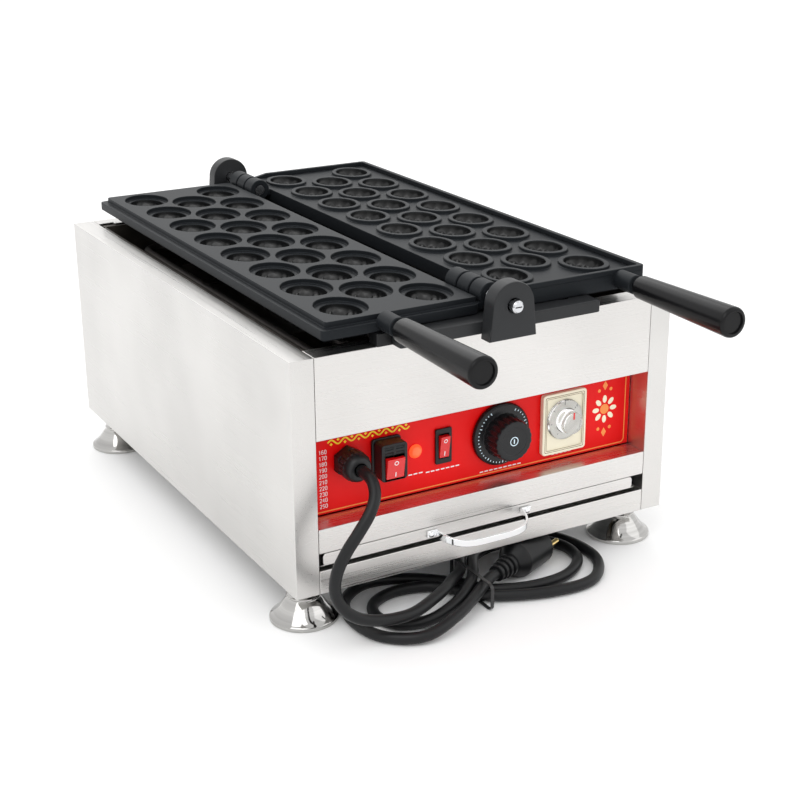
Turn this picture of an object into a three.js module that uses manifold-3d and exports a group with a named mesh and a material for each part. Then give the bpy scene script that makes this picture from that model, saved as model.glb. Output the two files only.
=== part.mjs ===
// Electric walnut waffle maker: two cast mould plates, hinged like a book, over a stainless cabinet.
// Millimetres, +X right, +Y back, +Z up. The origin is on the floor, under the middle of the
// machine with its handles. The cabinet is modelled about its own middle and then shifted.

import * as THREE from "three";
import { mergeVertices } from "three/addons/utils/BufferGeometryUtils.js";
import Module from "manifold-3d";

const wasm = await Module();
wasm.setup();

// Fits shared by every piece
const gap = 0.3; // between two pieces that touch
const runningGap = 0.5; // round a shaft, so that flat-sided facets clear it
const overrun = 3; // how far a cutter runs past a face
const sheet = 1.2; // stainless sheet
const weldTolerance = 1e-4;

// Cabinet
const bodyWidth = 350;
const bodyDepth = 484;
const bodyHeight = 192.6;
const postWidth = 20;
const postReturn = 24;
const footFlange = 42;
const footFlangeInset = 16;
const backReturn = 15;
const backFlange = 20;
const basePanLip = 14;
const ventCount = 6;
const ventRows = 2;
const ventLength = 38;
const ventWidth = 5;
const ventPitch = 44;
const ventRowSpacing = 240;

// Front of the cabinet, as heights above the floor of the cabinet
const sillHeight = 19.6;
const sillShelf = 17;
const sillBottomLeg = 12;
const trayFrontBottom = 23.6;
const trayFrontHeight = 10.2;
const railBottom = 34.2;
const railTop = 54.6;
const railBottomLeg = 12;
const recessTop = 126.6;
const recessDepth = 21;
const topReturn = 20;

// Feet
const footRadius = 27.6;
const footHeight = 33.4;
const footInsetX = 20.4; // stud's middle from the cabinet's side
const footInsetY = 31;
const footStudRadius = 4;
const footStudLength = 14;
const weldNutRadius = 6.5;
const weldNutHeight = 9;
// Radius share and height share of the bell, from the floor up
const footProfileShares = [
  [1, 0],
  [1, 0.09],
  [0.94, 0.14],
  [0.57, 0.5],
  [0.46, 0.57],
  [0.5, 0.63],
  [0.42, 0.72],
  [0.42, 1],
];

// Heating chamber
const chamberInset = 23; // from the cabinet's faces
const chamberHeight = 42;
const chamberFlange = 12;
const chamberCornerInset = 4;
const heaterRadius = 4;
const heaterSideMargin = 30;
const heaterInnerX = 29;
const heaterLegs = 4;
const heaterHeight = 20; // axis above the chamber floor
const heaterEndMargin = 24;
const heaterTail = 16;
const heaterSupportY = 120;
const heaterSupportThickness = 2;
const heaterSupportFoot = 12;
const heaterSupportMargin = 9;

// Crumb tray, its runners and its pull
const trayLeftRoom = 3.5; // between the tray and the post
const trayRightRoom = 11.5;
const trayBackRoom = 44;
const trayCornerRadius = 3;
const runnerTopLeg = 14;
const runnerFootLeg = 12;
const runnerRoom = 84;
const runnerInset = 8; // from the tray's edge to the runner's web
const runnerStrap = 20;
const pullLeft = -60;
const pullRight = 38;
const pullReach = 25;
const pullDrop = 4;
const pullWidth = 6;
const pullThickness = 2;
const pullEar = 9;

// Hinge between the plates
const hingeRise = 23.5; // axis above the cabinet's top
const pinRadius = 5;
const pinPoke = 6;
const pinCollarRadius = 7;
const pinCollarLength = 3;
const earThickness = 14;
const earOffset = 15; // back of the ear in front of the cabinet's face
const earTopRadius = 18.5;
const earFootHalfWidth = 21;
const earDrop = 3;
const barHalfLength = 91;
const barHeight = 10.1;
const barBack = 14; // from the cabinet's face inwards
const boltX = 68;
const boltInset = 7;
const boltRadius = 4;
const boltLength = 20;
const boltHeadRadius = 6;
const boltHeadHeight = 5;
const boltWellDepth = 6.2;
const boltSocketRadius = 3;
const boltSocketDepth = 2.6;
const boltNutRadius = 7;
const boltNutHeight = 6;
const knuckleRadius = 10;
const knuckleLength = 16;
const knucklePitch = 18.2;
const knuckleStart = 3; // first knuckle's end behind the plate's front edge
const knuckleClearance = 1.2;
const knuckleWebHeight = 5.7;

// Mould plates, measured from the hinge axis and from the plane where the plates meet
const plateSideMargin = 28; // from the cabinet's side
const plateSetback = 1; // from the cabinet's faces
const plateEdgeBottom = 12.5;
const plateCoreBottom = 20.5;
const plateCoreInner = 16;
const plateCoreMargin = 10;
const plateCoreEnd = 19;
const plateCornerRadius = 4;
const plateFace = 0.3;
const borderDrop = 4.5;
const borderWidth = 5.6;
const rimRise = 3.9;
const rimWidth = 4.5;
const rimRunOut = 20; // over which the rim's ends fall to the field beside the hinge

// Moulds: three columns, the middle one shifted by half a pitch
const mouldColumnX = 37.5;
const mouldSideMargin = 14.5; // from the plate's edge to the nearest seat
const mouldEndMargin = 12.3;
const mouldColumnCounts = [8, 7, 8];
const seatHalfWidth = 20;
const seatHalfLength = 25;
const seatDepth = 3.5;
const ringClearance = 0.7;
const ringRise = 2.8;
const bowlHalfWidth = 15.2;
const bowlHalfLength = 19;
const bowlDepth = 12.5;
const bowlShoulderShares = { size: 0.9, depth: 0.45 };
const bowlFloorShares = { size: 0.6, depth: 1 };
const seamWidth = 2.4;
const seamLength = 19;
const seamHeight = 3;
const seamSink = 1;

// Handles
const leftHandleX = 95;
const rightHandleX = 122;
const handleDrop = 4.5;
const bossRadius = 7.8;
const bossLength = 21;
const rodRadius = 4;
const rodInBoss = 16;
const rodInGrip = 92;
const neckLength = 6;
const gripLength = 110;
const gripNeckRadius = 9.5;
const gripEndRadius = 12;
const gripEdge = 2.2;
const gripWellShare = 0.7;
const gripWellDepth = 1.5;

// Control panel
const fasciaThickness = 0.8;
const panelMargin = 0.6; // fascia inside the recess
const glandInset = 37; // from the post
const glandZ = 96.4;
const glandHexRadius = 13;
const glandHexLength = 8;
const glandThreadRadius = 8;
const glandThreadLength = 16;
const glandNutLength = 5;
const glandDomeRadius = 12;
const glandDomeMouthRadius = 8.6;
const glandDomeLength = 15;
const powerX = -84;
const powerZ = 93;
const powerFlangeWidth = 26;
const powerFlangeHeight = 33;
const powerFlangeThickness = 2.4;
const bootWidth = 23;
const bootHeight = 31;
const bootDepth = 13;
const bootCornerRadius = 3;
const powerRockerWidth = 15.6;
const powerRockerHeight = 18.5;
const powerRockerOffset = -4.4; // below the switch's middle
const rockerWellDepth = 9;
const bootSlotWidth = 7.4;
const bootSlotHeight = 2.2;
const bootSlotDepth = 1.2;
const bootSlotPitch = 4.6;
const switchBodyInset = 2; // behind the flange's edge
const switchBodyDepth = 24;
const bladeWidth = 6.3;
const bladeThickness = 0.8;
const bladeLength = 8;
const lampX = -57;
const lampZ = 91.3;
const lampRadius = 5.8;
const lampDome = 4;
const lampStemRadius = 4.2;
const lampStemLength = 18;
const alarmX = -31.5;
const alarmZ = 91;
const alarmFlangeWidth = 15;
const alarmFlangeHeight = 30;
const alarmFlangeThickness = 2;
const alarmRockerWidth = 8.8;
const alarmRockerHeight = 20;
const rockerTilt = 9; // degrees either side of the middle
const rockerProud = 2.2;
const rockerDepth = 7;
const dialX = 22.6;
const dialZ = 90.6;
const dialSkirtRadius = 27;
const dialSkirtDepth = 5;
const dialGripRadius = 18.5;
const dialGripDepth = 17;
const dialGripTaperShare = 0.93;
const dialCapRadius = 6.5;
const dialCapDepth = 0.8;
const dialShaftRadius = 3;
const dialShaftInDial = 14;
const thermostatWidth = 46;
const thermostatHeight = 40;
const thermostatDepth = 28;
const thermostatBushRadius = 5.5;
const capillaryRadius = 1.3;
const bulbRadius = 3;
const bulbLength = 90;
const timerX = 84.2;
const timerZ = 89.3;
const timerWidth = 43.6;
const timerHeight = 53.5;
const timerThickness = 4.6;
const timerCornerRadius = 3;
const timerWellMargin = 3.5;
const timerWellDepth = 1.4;
const timerKnobRadius = 17.5;
const timerKnobDepth = 14;
const timerKnobRise = 2.6; // knob's middle above the frame's middle
const timerStemRadius = 3;
const timerStemLength = 10;
const timerBodyWidth = 38;
const timerBodyHeight = 44;
const timerBodyDepth = 34;
const timerBoreDepth = 14;

// Electrics on the floor of the cabinet
const terminalLength = 78;
const terminalDepth = 18;
const terminalHeight = 16;
const terminalWays = 6;
const terminalY = 110;
const terminalX = -40;
const terminalWellDepth = 6;
const buzzerRadius = 12;
const buzzerLength = 12;
const buzzerInset = 33; // from the post

// Mains cord, tied in a loose hank of two crossed loops, and its plug
const cordDiameter = 9.4;
const cordGap = 1.8; // between strands of the hank at its waist
const tieWidth = 3;
const tieThickness = 0.7;
const tieClearance = 0.5;
const waistAside = 97; // to the right of the gland
const waistReach = 6.2; // in front of the cabinet
const overRun = 7.4; // half length of a strand's level run over the waist
const underRun = 11.6;
const strandSpacing = 11.1;
const overHeading = 51.5; // degrees from +X
const underHeading = 125.8;
// Each lobe: how far it reaches, half its width and the way it points
const hankLobes = [
  { reach: 126.6, halfWidth: 59.5, heading: 16.1, side: 1 },
  { reach: 87.9, halfWidth: 29.2, heading: 179.5, side: -1 },
  { reach: 116.5, halfWidth: 38.3, heading: 16, side: 1 },
  { reach: 107.4, halfWidth: 51.6, heading: 177.9, side: -1 },
];
const lobeAngles = [27, 48, 70, 90, 110, 132, 153];
// How far each of a lobe's points still stands up on its way from the waist to the floor
const humpShares = [0.6, 0.15, 0, 0, 0, 0.15, 0.6];
const lobeFullnessShare = 1.4;
const lobeSteps = 24;
const hankSides = 6;
const cordSides = 10;
const cordStep = 14;
const plugHeading = 24.9;
const plugAside = 117.9;
const plugReach = 10.1;
const plugRadius = 16;
const plugNeckRadius = 7;
const plugCollarRadius = 9.4;
const plugReliefLength = 22;
const plugBodyLength = 36;
const plugShoulder = 8;
const reliefRibs = 4;
const reliefGroove = 1.2;
const pinPitch = 19;
const plugPinRadius = 2.4;
const plugPinLength = 19;
const plugPinSeat = 8;
const plugFaceRecess = 2;
const plugFaceRimShare = 0.82;
// Route of the lead to the hank, chosen by eye, down past the end of the tray so that the tray
// can slide out: how far to the right of the gland, behind the cabinet's face and above the floor
const leadRoute = [
  [-0.5, -20, 127.5],
  [-3.5, -29, 120.5],
  [-11, -35, 110.5],
  [-21.5, -37, 98],
  [-32.5, -37, 84],
  [-41, -37, 68],
  [-42.5, -37, 53],
  [-37, -37.5, 39],
  [-25, -38.5, 28],
  [-5, -39.5, 21],
  [22, -38, 18.5],
  [48, -28, 20],
];
const hankStart = [74, -10, 19.5];
const hankStartAim = [87, 2.5, 17.5];

// Numbers of flats and steps
const roundSides = 16;
const bigRoundSides = 16;
const dialSides = 20;
const boltSides = 10;
const mouldSides = 10;
const bendSteps = 6;
const hexSides = 6;

// Worked-out places
const floorZ = footHeight; // underside of the cabinet
const bodyTop = floorZ + bodyHeight;
const halfWidth = bodyWidth / 2;
const halfDepth = bodyDepth / 2;
const clearHalf = halfWidth - postWidth; // between the posts
const infill = clearHalf - gap; // half width of what fits between them
const recessY = -halfDepth + recessDepth;
const footX = halfWidth - footInsetX;
const footY = halfDepth - footInsetY;
const chamberWidth = bodyWidth - 2 * chamberInset;
const chamberDepth = bodyDepth - 2 * chamberInset;
const trayLeft = clearHalf - trayLeftRoom;
const trayRight = clearHalf - trayRightRoom;
const trayDepth = bodyDepth - trayBackRoom;
const runnerLength = bodyDepth - runnerRoom;
const plateInner = knuckleRadius + knuckleClearance + gap;
const plateOuter = halfWidth - plateSideMargin;
const plateHalfDepth = halfDepth - plateSetback;
const mouldColumnPitch =
  (plateOuter - mouldSideMargin - seatHalfWidth - mouldColumnX) / (mouldColumnCounts.length - 1);
const mouldPitch =
  (2 * (plateHalfDepth - mouldEndMargin - seatHalfLength)) / (mouldColumnCounts[0] - 1);
const glandX = -clearHalf + glandInset;
const buzzerX = clearHalf - buzzerInset;
const heaterBendRadius =
  (chamberWidth / 2 - heaterInnerX - heaterSideMargin) / (2 * (heaterLegs - 1));
const waistX = glandX + waistAside;
const waistY = -halfDepth - waistReach;
const hingeZ = bodyTop + hingeRise;
const earBack = halfDepth + earOffset;
const earFront = earBack + earThickness;
const pinEnd = earFront + pinPoke;
const barBottom = bodyTop + gap;
const bossEnd = plateHalfDepth + bossLength;
const gripStart = bossEnd + neckLength;
const gripEnd = gripStart + gripLength;
const cordRadius = cordDiameter / 2;

const colours = {
  steel: { color: 0xd9d7d2, roughness: 0.32, metalness: 0.9 },
  polished: { color: 0xe6e6e6, roughness: 0.08, metalness: 1 },
  zinc: { color: 0x9fa3a6, roughness: 0.45, metalness: 0.8 },
  coatedAluminium: { color: 0x26282b, roughness: 0.5, metalness: 0.3 },
  darkSteel: { color: 0x2a2b2d, roughness: 0.45, metalness: 0.4 },
  bakelite: { color: 0x141415, roughness: 0.3, metalness: 0 },
  blackPlastic: { color: 0x18191b, roughness: 0.45, metalness: 0 },
  red: { color: 0xe20f12, roughness: 0.35, metalness: 0 },
  orange: { color: 0xff4a2a, roughness: 0.25, metalness: 0 },
  cream: { color: 0xeee2bf, roughness: 0.5, metalness: 0 },
  clear: { color: 0xe6e4e0, roughness: 0.1, metalness: 0 },
  heater: { color: 0x4c4743, roughness: 0.6, metalness: 0.6 },
  copper: { color: 0xb87345, roughness: 0.4, metalness: 0.9 },
  brass: { color: 0xc9a85b, roughness: 0.3, metalness: 1 },
  rubber: { color: 0x101113, roughness: 0.55, metalness: 0 },
};

// A closed geometry as a solid that can be joined and cut.
function solidOf(geometry) {
  const bare = new THREE.BufferGeometry();
  bare.setAttribute("position", geometry.getAttribute("position"));
  if (geometry.index) bare.setIndex(geometry.index);
  const merged = mergeVertices(bare, weldTolerance);
  const corners = merged.index.array;
  const kept = [];
  for (let i = 0; i < corners.length; i += 3) {
    const [a, b, c] = [corners[i], corners[i + 1], corners[i + 2]];
    if (a !== b && b !== c && c !== a) kept.push(a, b, c);
  }
  const mesh = new wasm.Mesh({
    numProp: 3,
    vertProperties: merged.attributes.position.array,
    triVerts: new Uint32Array(kept),
  });
  return new wasm.Manifold(mesh);
}

// A solid as a flat-shaded geometry.
function geometryOf(solid) {
  const mesh = solid.getMesh();
  const geometry = new THREE.BufferGeometry();
  geometry.setAttribute("position", new THREE.BufferAttribute(mesh.vertProperties, 3));
  geometry.setIndex(new THREE.BufferAttribute(mesh.triVerts, 1));
  const flat = geometry.toNonIndexed();
  flat.computeVertexNormals();
  return flat;
}

function joined(solids) {
  return solids.reduce((whole, next) => whole.add(next));
}

function cut(solid, cutters) {
  return cutters.reduce((rest, cutter) => rest.subtract(cutter), solid);
}

// A block between two opposite corners.
function block(x0, x1, y0, y1, z0, z1) {
  const geometry = new THREE.BoxGeometry(x1 - x0, y1 - y0, z1 - z0);
  geometry.translate((x0 + x1) / 2, (y0 + y1) / 2, (z0 + z1) / 2);
  return solidOf(geometry);
}

// A shape drawn in X and Y, raised from one height to another.
function raised(shape, z0, z1, curveSegments = bendSteps) {
  const geometry = new THREE.ExtrudeGeometry(shape, {
    depth: z1 - z0,
    bevelEnabled: false,
    curveSegments,
  });
  geometry.translate(0, 0, z0);
  return solidOf(geometry);
}

// A shape drawn in X and Z, as seen from the front, running from y0 in front to y1 behind.
function facing(shape, y0, y1, curveSegments = bendSteps) {
  const geometry = new THREE.ExtrudeGeometry(shape, {
    depth: y1 - y0,
    bevelEnabled: false,
    curveSegments,
  });
  geometry.rotateX(Math.PI / 2);
  geometry.translate(0, y1, 0);
  return solidOf(geometry);
}

// A shape drawn in Y and Z, running from x0 to x1.
function across(shape, x0, x1) {
  const geometry = new THREE.ExtrudeGeometry(shape, { depth: x1 - x0, bevelEnabled: false });
  const basis = new THREE.Matrix4().makeBasis(
    new THREE.Vector3(0, 1, 0),
    new THREE.Vector3(0, 0, 1),
    new THREE.Vector3(1, 0, 0),
  );
  geometry.applyMatrix4(basis);
  geometry.translate(x0, 0, 0);
  return solidOf(geometry);
}

// A profile of [radius, place] points turned about the Y axis through x, z.
function turnedAlongY(profile, x, z, sides = roundSides) {
  const points = profile.map(([radius, place]) => new THREE.Vector2(radius, place));
  const geometry = new THREE.LatheGeometry(points, sides);
  geometry.translate(x, 0, z);
  return solidOf(geometry);
}

// A profile of [radius, height] points turned about a vertical axis through x, y.
function turnedUp(profile, x, y, sides = roundSides) {
  const points = profile.map(([radius, height]) => new THREE.Vector2(radius, height));
  const geometry = new THREE.LatheGeometry(points, sides);
  geometry.rotateX(Math.PI / 2);
  geometry.translate(x, y, 0);
  return solidOf(geometry);
}

function rodAlongY(radius, y0, y1, x, z, sides = roundSides) {
  return turnedAlongY([[0, y0], [radius, y0], [radius, y1], [0, y1]], x, z, sides);
}

function rodUp(radius, z0, z1, x, y, sides = roundSides) {
  return turnedUp([[0, z0], [radius, z0], [radius, z1], [0, z1]], x, y, sides);
}

// The outline of a sheet folded along a line of points, on the line's left-hand side.
function foldedSheet(line, thickness) {
  const points = line.map(([u, v]) => new THREE.Vector2(u, v));
  const offset = points.map((point, i) => {
    const before = points[Math.max(i - 1, 0)];
    const after = points[Math.min(i + 1, points.length - 1)];
    const into = (i > 0 ? point.clone().sub(before) : after.clone().sub(point)).normalize();
    const out = (i < points.length - 1 ? after.clone().sub(point) : into.clone()).normalize();
    const mitre = new THREE.Vector2(-into.y - out.y, into.x + out.x);
    mitre.multiplyScalar(thickness / (1 + into.dot(out)));
    return point.clone().add(mitre);
  });
  return new THREE.Shape([...points, ...offset.reverse()]);
}

function roundedRectangle(x0, x1, v0, v1, radius) {
  const shape = new THREE.Shape();
  shape.moveTo(x0 + radius, v0);
  shape.lineTo(x1 - radius, v0);
  shape.absarc(x1 - radius, v0 + radius, radius, -Math.PI / 2, 0);
  shape.lineTo(x1, v1 - radius);
  shape.absarc(x1 - radius, v1 - radius, radius, 0, Math.PI / 2);
  shape.lineTo(x0 + radius, v1);
  shape.absarc(x0 + radius, v1 - radius, radius, Math.PI / 2, Math.PI);
  shape.lineTo(x0, v0 + radius);
  shape.absarc(x0 + radius, v0 + radius, radius, Math.PI, 1.5 * Math.PI);
  return shape;
}

function polygon(sides, radius, x, v) {
  const points = [];
  for (let i = 0; i < sides; i++) {
    const angle = (2 * Math.PI * (i + 0.5)) / sides;
    points.push(new THREE.Vector2(x + radius * Math.cos(angle), v + radius * Math.sin(angle)));
  }
  return new THREE.Shape(points);
}

// A solid skin over rings of equally many points, closed at both ends.
function loft(rings) {
  const count = rings[0].length;
  const triangles = [];
  const push = (a, b, c) => triangles.push(...a.toArray(), ...b.toArray(), ...c.toArray());
  for (let i = 0; i < rings.length - 1; i++) {
    const [ring, next] = [rings[i], rings[i + 1]];
    for (let j = 0; j < count; j++) {
      const k = (j + 1) % count;
      push(ring[j], ring[k], next[k]);
      push(ring[j], next[k], next[j]);
    }
  }
  const first = rings[0];
  const last = rings[rings.length - 1];
  for (let j = 1; j < count - 1; j++) {
    push(first[0], first[j + 1], first[j]);
    push(last[0], last[j], last[j + 1]);
  }
  const geometry = new THREE.BufferGeometry();
  geometry.setAttribute("position", new THREE.Float32BufferAttribute(triangles, 3));
  return geometry;
}

// A section of [across, up] points carried along a row of points without twisting.
function swept(points, section, firstUp) {
  const rings = [];
  let up = firstUp.clone();
  points.forEach((point, i) => {
    const before = points[Math.max(i - 1, 0)];
    const after = points[Math.min(i + 1, points.length - 1)];
    const tangent = after.clone().sub(before).normalize();
    up = up.clone().addScaledVector(tangent, -up.dot(tangent)).normalize();
    const side = new THREE.Vector3().crossVectors(tangent, up);
    rings.push(
      section.map(([a, b]) => point.clone().addScaledVector(side, a).addScaledVector(up, b)),
    );
  });
  return loft(rings);
}

function circleSection(radius, sides) {
  const section = [];
  for (let i = 0; i < sides; i++) {
    const angle = (-2 * Math.PI * (i + 0.5)) / sides;
    section.push([radius * Math.cos(angle), radius * Math.sin(angle)]);
  }
  return section;
}

const vertical = new THREE.Vector3(0, 0, 1);
const machine = new THREE.Group();
const pieces = {};

// Adds a named piece with a material of its own.
function addPiece(name, solid, colour) {
  const material = new THREE.MeshStandardMaterial(colours[colour]);
  const mesh = new THREE.Mesh(geometryOf(solid), material);
  mesh.name = name;
  machine.add(mesh);
  pieces[name] = mesh;
  return mesh;
}

// Cabinet: two side pans, a base pan, a back, and the folded strips of the front
function sidePanel() {
  const pan = block(clearHalf, halfWidth, -halfDepth, halfDepth, floorZ, bodyTop);
  const skin = halfWidth - sheet;
  const low = floorZ + sheet;
  const high = bodyTop - sheet;
  const returnEnd = -halfDepth + postReturn;
  const postHollow = block(
    clearHalf + sheet, skin, -halfDepth + sheet, returnEnd + overrun, low, high,
  );
  const mainHollow = block(
    clearHalf - overrun, skin, returnEnd, halfDepth - sheet, low, high,
  );
  const flange = block(
    halfWidth - footFlange, skin, -halfDepth + footFlangeInset, halfDepth - footFlangeInset,
    floorZ, low,
  );
  const studs = [-footY, footY].map((y) =>
    rodUp(footStudRadius + runningGap, floorZ - overrun, low + overrun, footX, y, boltSides),
  );
  return cut(joined([cut(pan, [postHollow, mainHollow]), flange]), studs);
}

function basePan() {
  const bottom = floorZ + sheet + gap;
  const front = -halfDepth + postReturn + gap;
  const back = halfDepth - backReturn - gap;
  const half = halfWidth - sheet - gap;
  const profile = foldedSheet(
    [
      [front, bottom + basePanLip],
      [front, bottom],
      [back, bottom],
      [back, bottom + basePanLip],
    ],
    sheet,
  );
  const nuts = [];
  const holes = [];
  for (const x of [-footX, footX]) {
    for (const y of [-footY, footY]) {
      const hex = polygon(hexSides, weldNutRadius, x, y);
      nuts.push(raised(hex, bottom + sheet / 2, bottom + sheet + weldNutHeight));
      holes.push(
        rodUp(
          footStudRadius + runningGap, bottom - overrun, bottom + sheet + weldNutHeight + overrun,
          x, y, boltSides,
        ),
      );
    }
  }
  const vents = [];
  for (let row = 0; row < ventRows; row++) {
    for (let i = 0; i < ventCount; i++) {
      const x = (i - (ventCount - 1) / 2) * ventPitch;
      const y = (row - (ventRows - 1) / 2) * ventRowSpacing;
      vents.push(
        block(
          x - ventLength / 2, x + ventLength / 2, y - ventWidth / 2, y + ventWidth / 2,
          bottom - overrun, bottom + sheet + overrun,
        ),
      );
    }
  }
  return cut(joined([across(profile, -half, half), ...nuts]), [...holes, ...vents]);
}

// Weld nuts and holes for the bolts of one hinge bar, under a top flange.
function boltNuts(sign) {
  const y = sign * (halfDepth - boltInset);
  return [-boltX, boltX].map((x) =>
    raised(polygon(hexSides, boltNutRadius, x, y), bodyTop - sheet - boltNutHeight, bodyTop - sheet / 2),
  );
}

function boltHoles(sign) {
  const y = sign * (halfDepth - boltInset);
  return [-boltX, boltX].map((x) =>
    rodUp(boltRadius + runningGap, bodyTop - overrun - sheet - boltNutHeight, bodyTop + overrun, x, y, boltSides),
  );
}

function backPanel() {
  const pan = block(-infill, infill, halfDepth - backReturn, halfDepth, floorZ, bodyTop);
  const hollow = block(
    -infill + sheet, infill - sheet, halfDepth - backReturn - overrun, halfDepth - sheet,
    floorZ + sheet, bodyTop - sheet,
  );
  const flange = block(
    -infill + backReturn, infill - backReturn, halfDepth - backFlange, halfDepth - backReturn + sheet,
    bodyTop - sheet, bodyTop,
  );
  return cut(joined([cut(pan, [hollow]), flange, ...boltNuts(1)]), boltHoles(1));
}

function frontUpperPanel() {
  const bottom = floorZ + recessTop;
  const profile = foldedSheet(
    [
      [recessY + sheet, bottom],
      [-halfDepth, bottom],
      [-halfDepth, bodyTop],
      [-halfDepth + topReturn, bodyTop],
    ].reverse(),
    sheet,
  );
  return cut(joined([across(profile, -infill, infill), ...boltNuts(-1)]), boltHoles(-1));
}

function frontRail() {
  const profile = foldedSheet(
    [
      [recessY + sheet, floorZ + railTop],
      [-halfDepth, floorZ + railTop],
      [-halfDepth, floorZ + railBottom],
      [-halfDepth + railBottomLeg, floorZ + railBottom],
    ],
    sheet,
  );
  return across(profile, -infill, infill);
}

function frontSill() {
  const profile = foldedSheet(
    [
      [-halfDepth + sillShelf, floorZ + sillHeight],
      [-halfDepth, floorZ + sillHeight],
      [-halfDepth, floorZ],
      [-halfDepth + sillBottomLeg, floorZ],
    ],
    sheet,
  );
  return across(profile, -infill, infill);
}

// Holes through the control panel and its printed fascia for everything mounted there.
function panelCutters(y0, y1) {
  const rectangle = (x, z, width, height) =>
    block(x - width / 2, x + width / 2, y0, y1, floorZ + z - height / 2, floorZ + z + height / 2);
  const round = (x, z, radius) => rodAlongY(radius, y0, y1, x, floorZ + z);
  const inset = 2 * (switchBodyInset - gap);
  return [
    round(glandX, glandZ, glandThreadRadius + runningGap),
    rectangle(powerX, powerZ, powerFlangeWidth - inset, powerFlangeHeight - inset),
    round(lampX, lampZ, lampStemRadius + gap),
    rectangle(alarmX, alarmZ, alarmFlangeWidth - inset, alarmFlangeHeight - inset),
    round(dialX, dialZ, thermostatBushRadius + gap),
    rectangle(timerX, timerZ, timerBodyWidth + 2 * gap, timerBodyHeight + 2 * gap),
  ];
}

function controlPanel() {
  const panel = block(
    -halfWidth + sheet + gap, halfWidth - sheet - gap, -halfDepth + postReturn + gap,
    -halfDepth + postReturn + gap + sheet, floorZ + railTop + gap, floorZ + recessTop - gap,
  );
  return cut(panel, panelCutters(-halfDepth, -halfDepth + postReturn + overrun));
}

function fascia() {
  const plate = block(
    -clearHalf + panelMargin, clearHalf - panelMargin, panelFace, panelFace + fasciaThickness,
    floorZ + railTop + panelMargin, floorZ + recessTop - panelMargin,
  );
  return cut(plate, panelCutters(panelFace - overrun, panelFace + overrun));
}

// Heating chamber under the plates, with two looped heaters on slotted supports
const chamberTop = bodyTop - sheet - gap;
const chamberFloor = chamberTop - chamberHeight;
const heaterZ = chamberFloor + sheet + heaterHeight;

function heaterLegX(index) {
  return heaterInnerX + index * 2 * heaterBendRadius;
}

function chamber() {
  const wallX = chamberWidth / 2;
  const wallY = chamberDepth / 2;
  const shell = block(-wallX, wallX, -wallY, wallY, chamberFloor, chamberTop);
  const flangeY = wallY + chamberFlange / 2;
  const acrossFlange = block(
    -wallX, wallX, -flangeY, flangeY, chamberTop - sheet, chamberTop,
  );
  const sideFlangeY = halfDepth - postReturn - chamberCornerInset;
  const sideFlange = block(
    -wallX - chamberFlange, wallX + chamberFlange, -sideFlangeY, sideFlangeY,
    chamberTop - sheet, chamberTop,
  );
  const hollow = block(
    -wallX + sheet, wallX - sheet, -wallY + sheet, wallY - sheet,
    chamberFloor + sheet, chamberTop + overrun,
  );
  const tails = [];
  for (const side of [-1, 1]) {
    for (const leg of [0, heaterLegs - 1]) {
      tails.push(
        rodAlongY(
          heaterRadius + runningGap, -wallY - overrun, -wallY + sheet + overrun,
          side * heaterLegX(leg), heaterZ, boltSides,
        ),
      );
    }
  }
  const capillary = rodUp(
    capillaryRadius + runningGap, chamberFloor - overrun, chamberFloor + sheet + overrun,
    capillaryX, capillaryRiseY, boltSides,
  );
  return cut(joined([shell, acrossFlange, sideFlange]), [hollow, ...tails, capillary]);
}

function heater() {
  const front = -chamberDepth / 2 + heaterEndMargin;
  const back = chamberDepth / 2 - heaterEndMargin;
  const points = [new THREE.Vector3(heaterLegX(0), -chamberDepth / 2 - heaterTail, heaterZ)];
  for (let bend = 0; bend < heaterLegs - 1; bend++) {
    const atBack = bend % 2 === 0;
    const y = atBack ? back - heaterBendRadius : front + heaterBendRadius;
    const x = heaterLegX(bend) + heaterBendRadius;
    for (let i = 0; i <= bendSteps; i++) {
      const angle = Math.PI - (Math.PI * i) / bendSteps;
      points.push(
        new THREE.Vector3(
          x + heaterBendRadius * Math.cos(angle),
          y + (atBack ? 1 : -1) * heaterBendRadius * Math.sin(angle),
          heaterZ,
        ),
      );
    }
  }
  points.push(
    new THREE.Vector3(heaterLegX(heaterLegs - 1), -chamberDepth / 2 - heaterTail, heaterZ),
  );
  return solidOf(swept(points, circleSection(heaterRadius, hexSides), vertical));
}

function heaterSupport(y, towards) {
  const floor = chamberFloor + sheet + gap;
  const reach = heaterLegX(heaterLegs - 1) + heaterSupportMargin;
  const web = block(-reach, reach, y, y + heaterSupportThickness, floor, heaterZ);
  const footY0 = towards > 0 ? y : y + heaterSupportThickness - heaterSupportFoot;
  const foot = block(
    -reach, reach, footY0, footY0 + heaterSupportFoot, floor, floor + heaterSupportThickness,
  );
  const slots = [];
  for (const side of [-1, 1]) {
    for (let leg = 0; leg < heaterLegs; leg++) {
      slots.push(
        rodAlongY(
          heaterRadius + gap, y - overrun, y + heaterSupportThickness + overrun,
          side * heaterLegX(leg), heaterZ, boltSides,
        ),
      );
    }
  }
  const bulbSlot = rodAlongY(
    bulbRadius + gap, y - overrun, y + heaterSupportThickness + overrun, capillaryX, heaterZ,
    boltSides,
  );
  return cut(joined([web, foot]), [...slots, bulbSlot]);
}

// Two slotted bars on a pair of side rails.
function heaterSupports() {
  const floor = chamberFloor + sheet + gap;
  const reach = heaterLegX(heaterLegs - 1) + heaterSupportMargin;
  const rails = [-reach, reach - heaterSupportThickness].map((x) =>
    block(
      x, x + heaterSupportThickness, -heaterSupportY, heaterSupportY,
      floor, floor + heaterSupportThickness,
    ),
  );
  return joined([heaterSupport(-heaterSupportY, 1), heaterSupport(heaterSupportY, -1), ...rails]);
}

// Crumb tray, pulled out under the control panel
const trayBottom = floorZ + trayFrontBottom;
const trayTop = trayBottom + trayFrontHeight;

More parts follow.
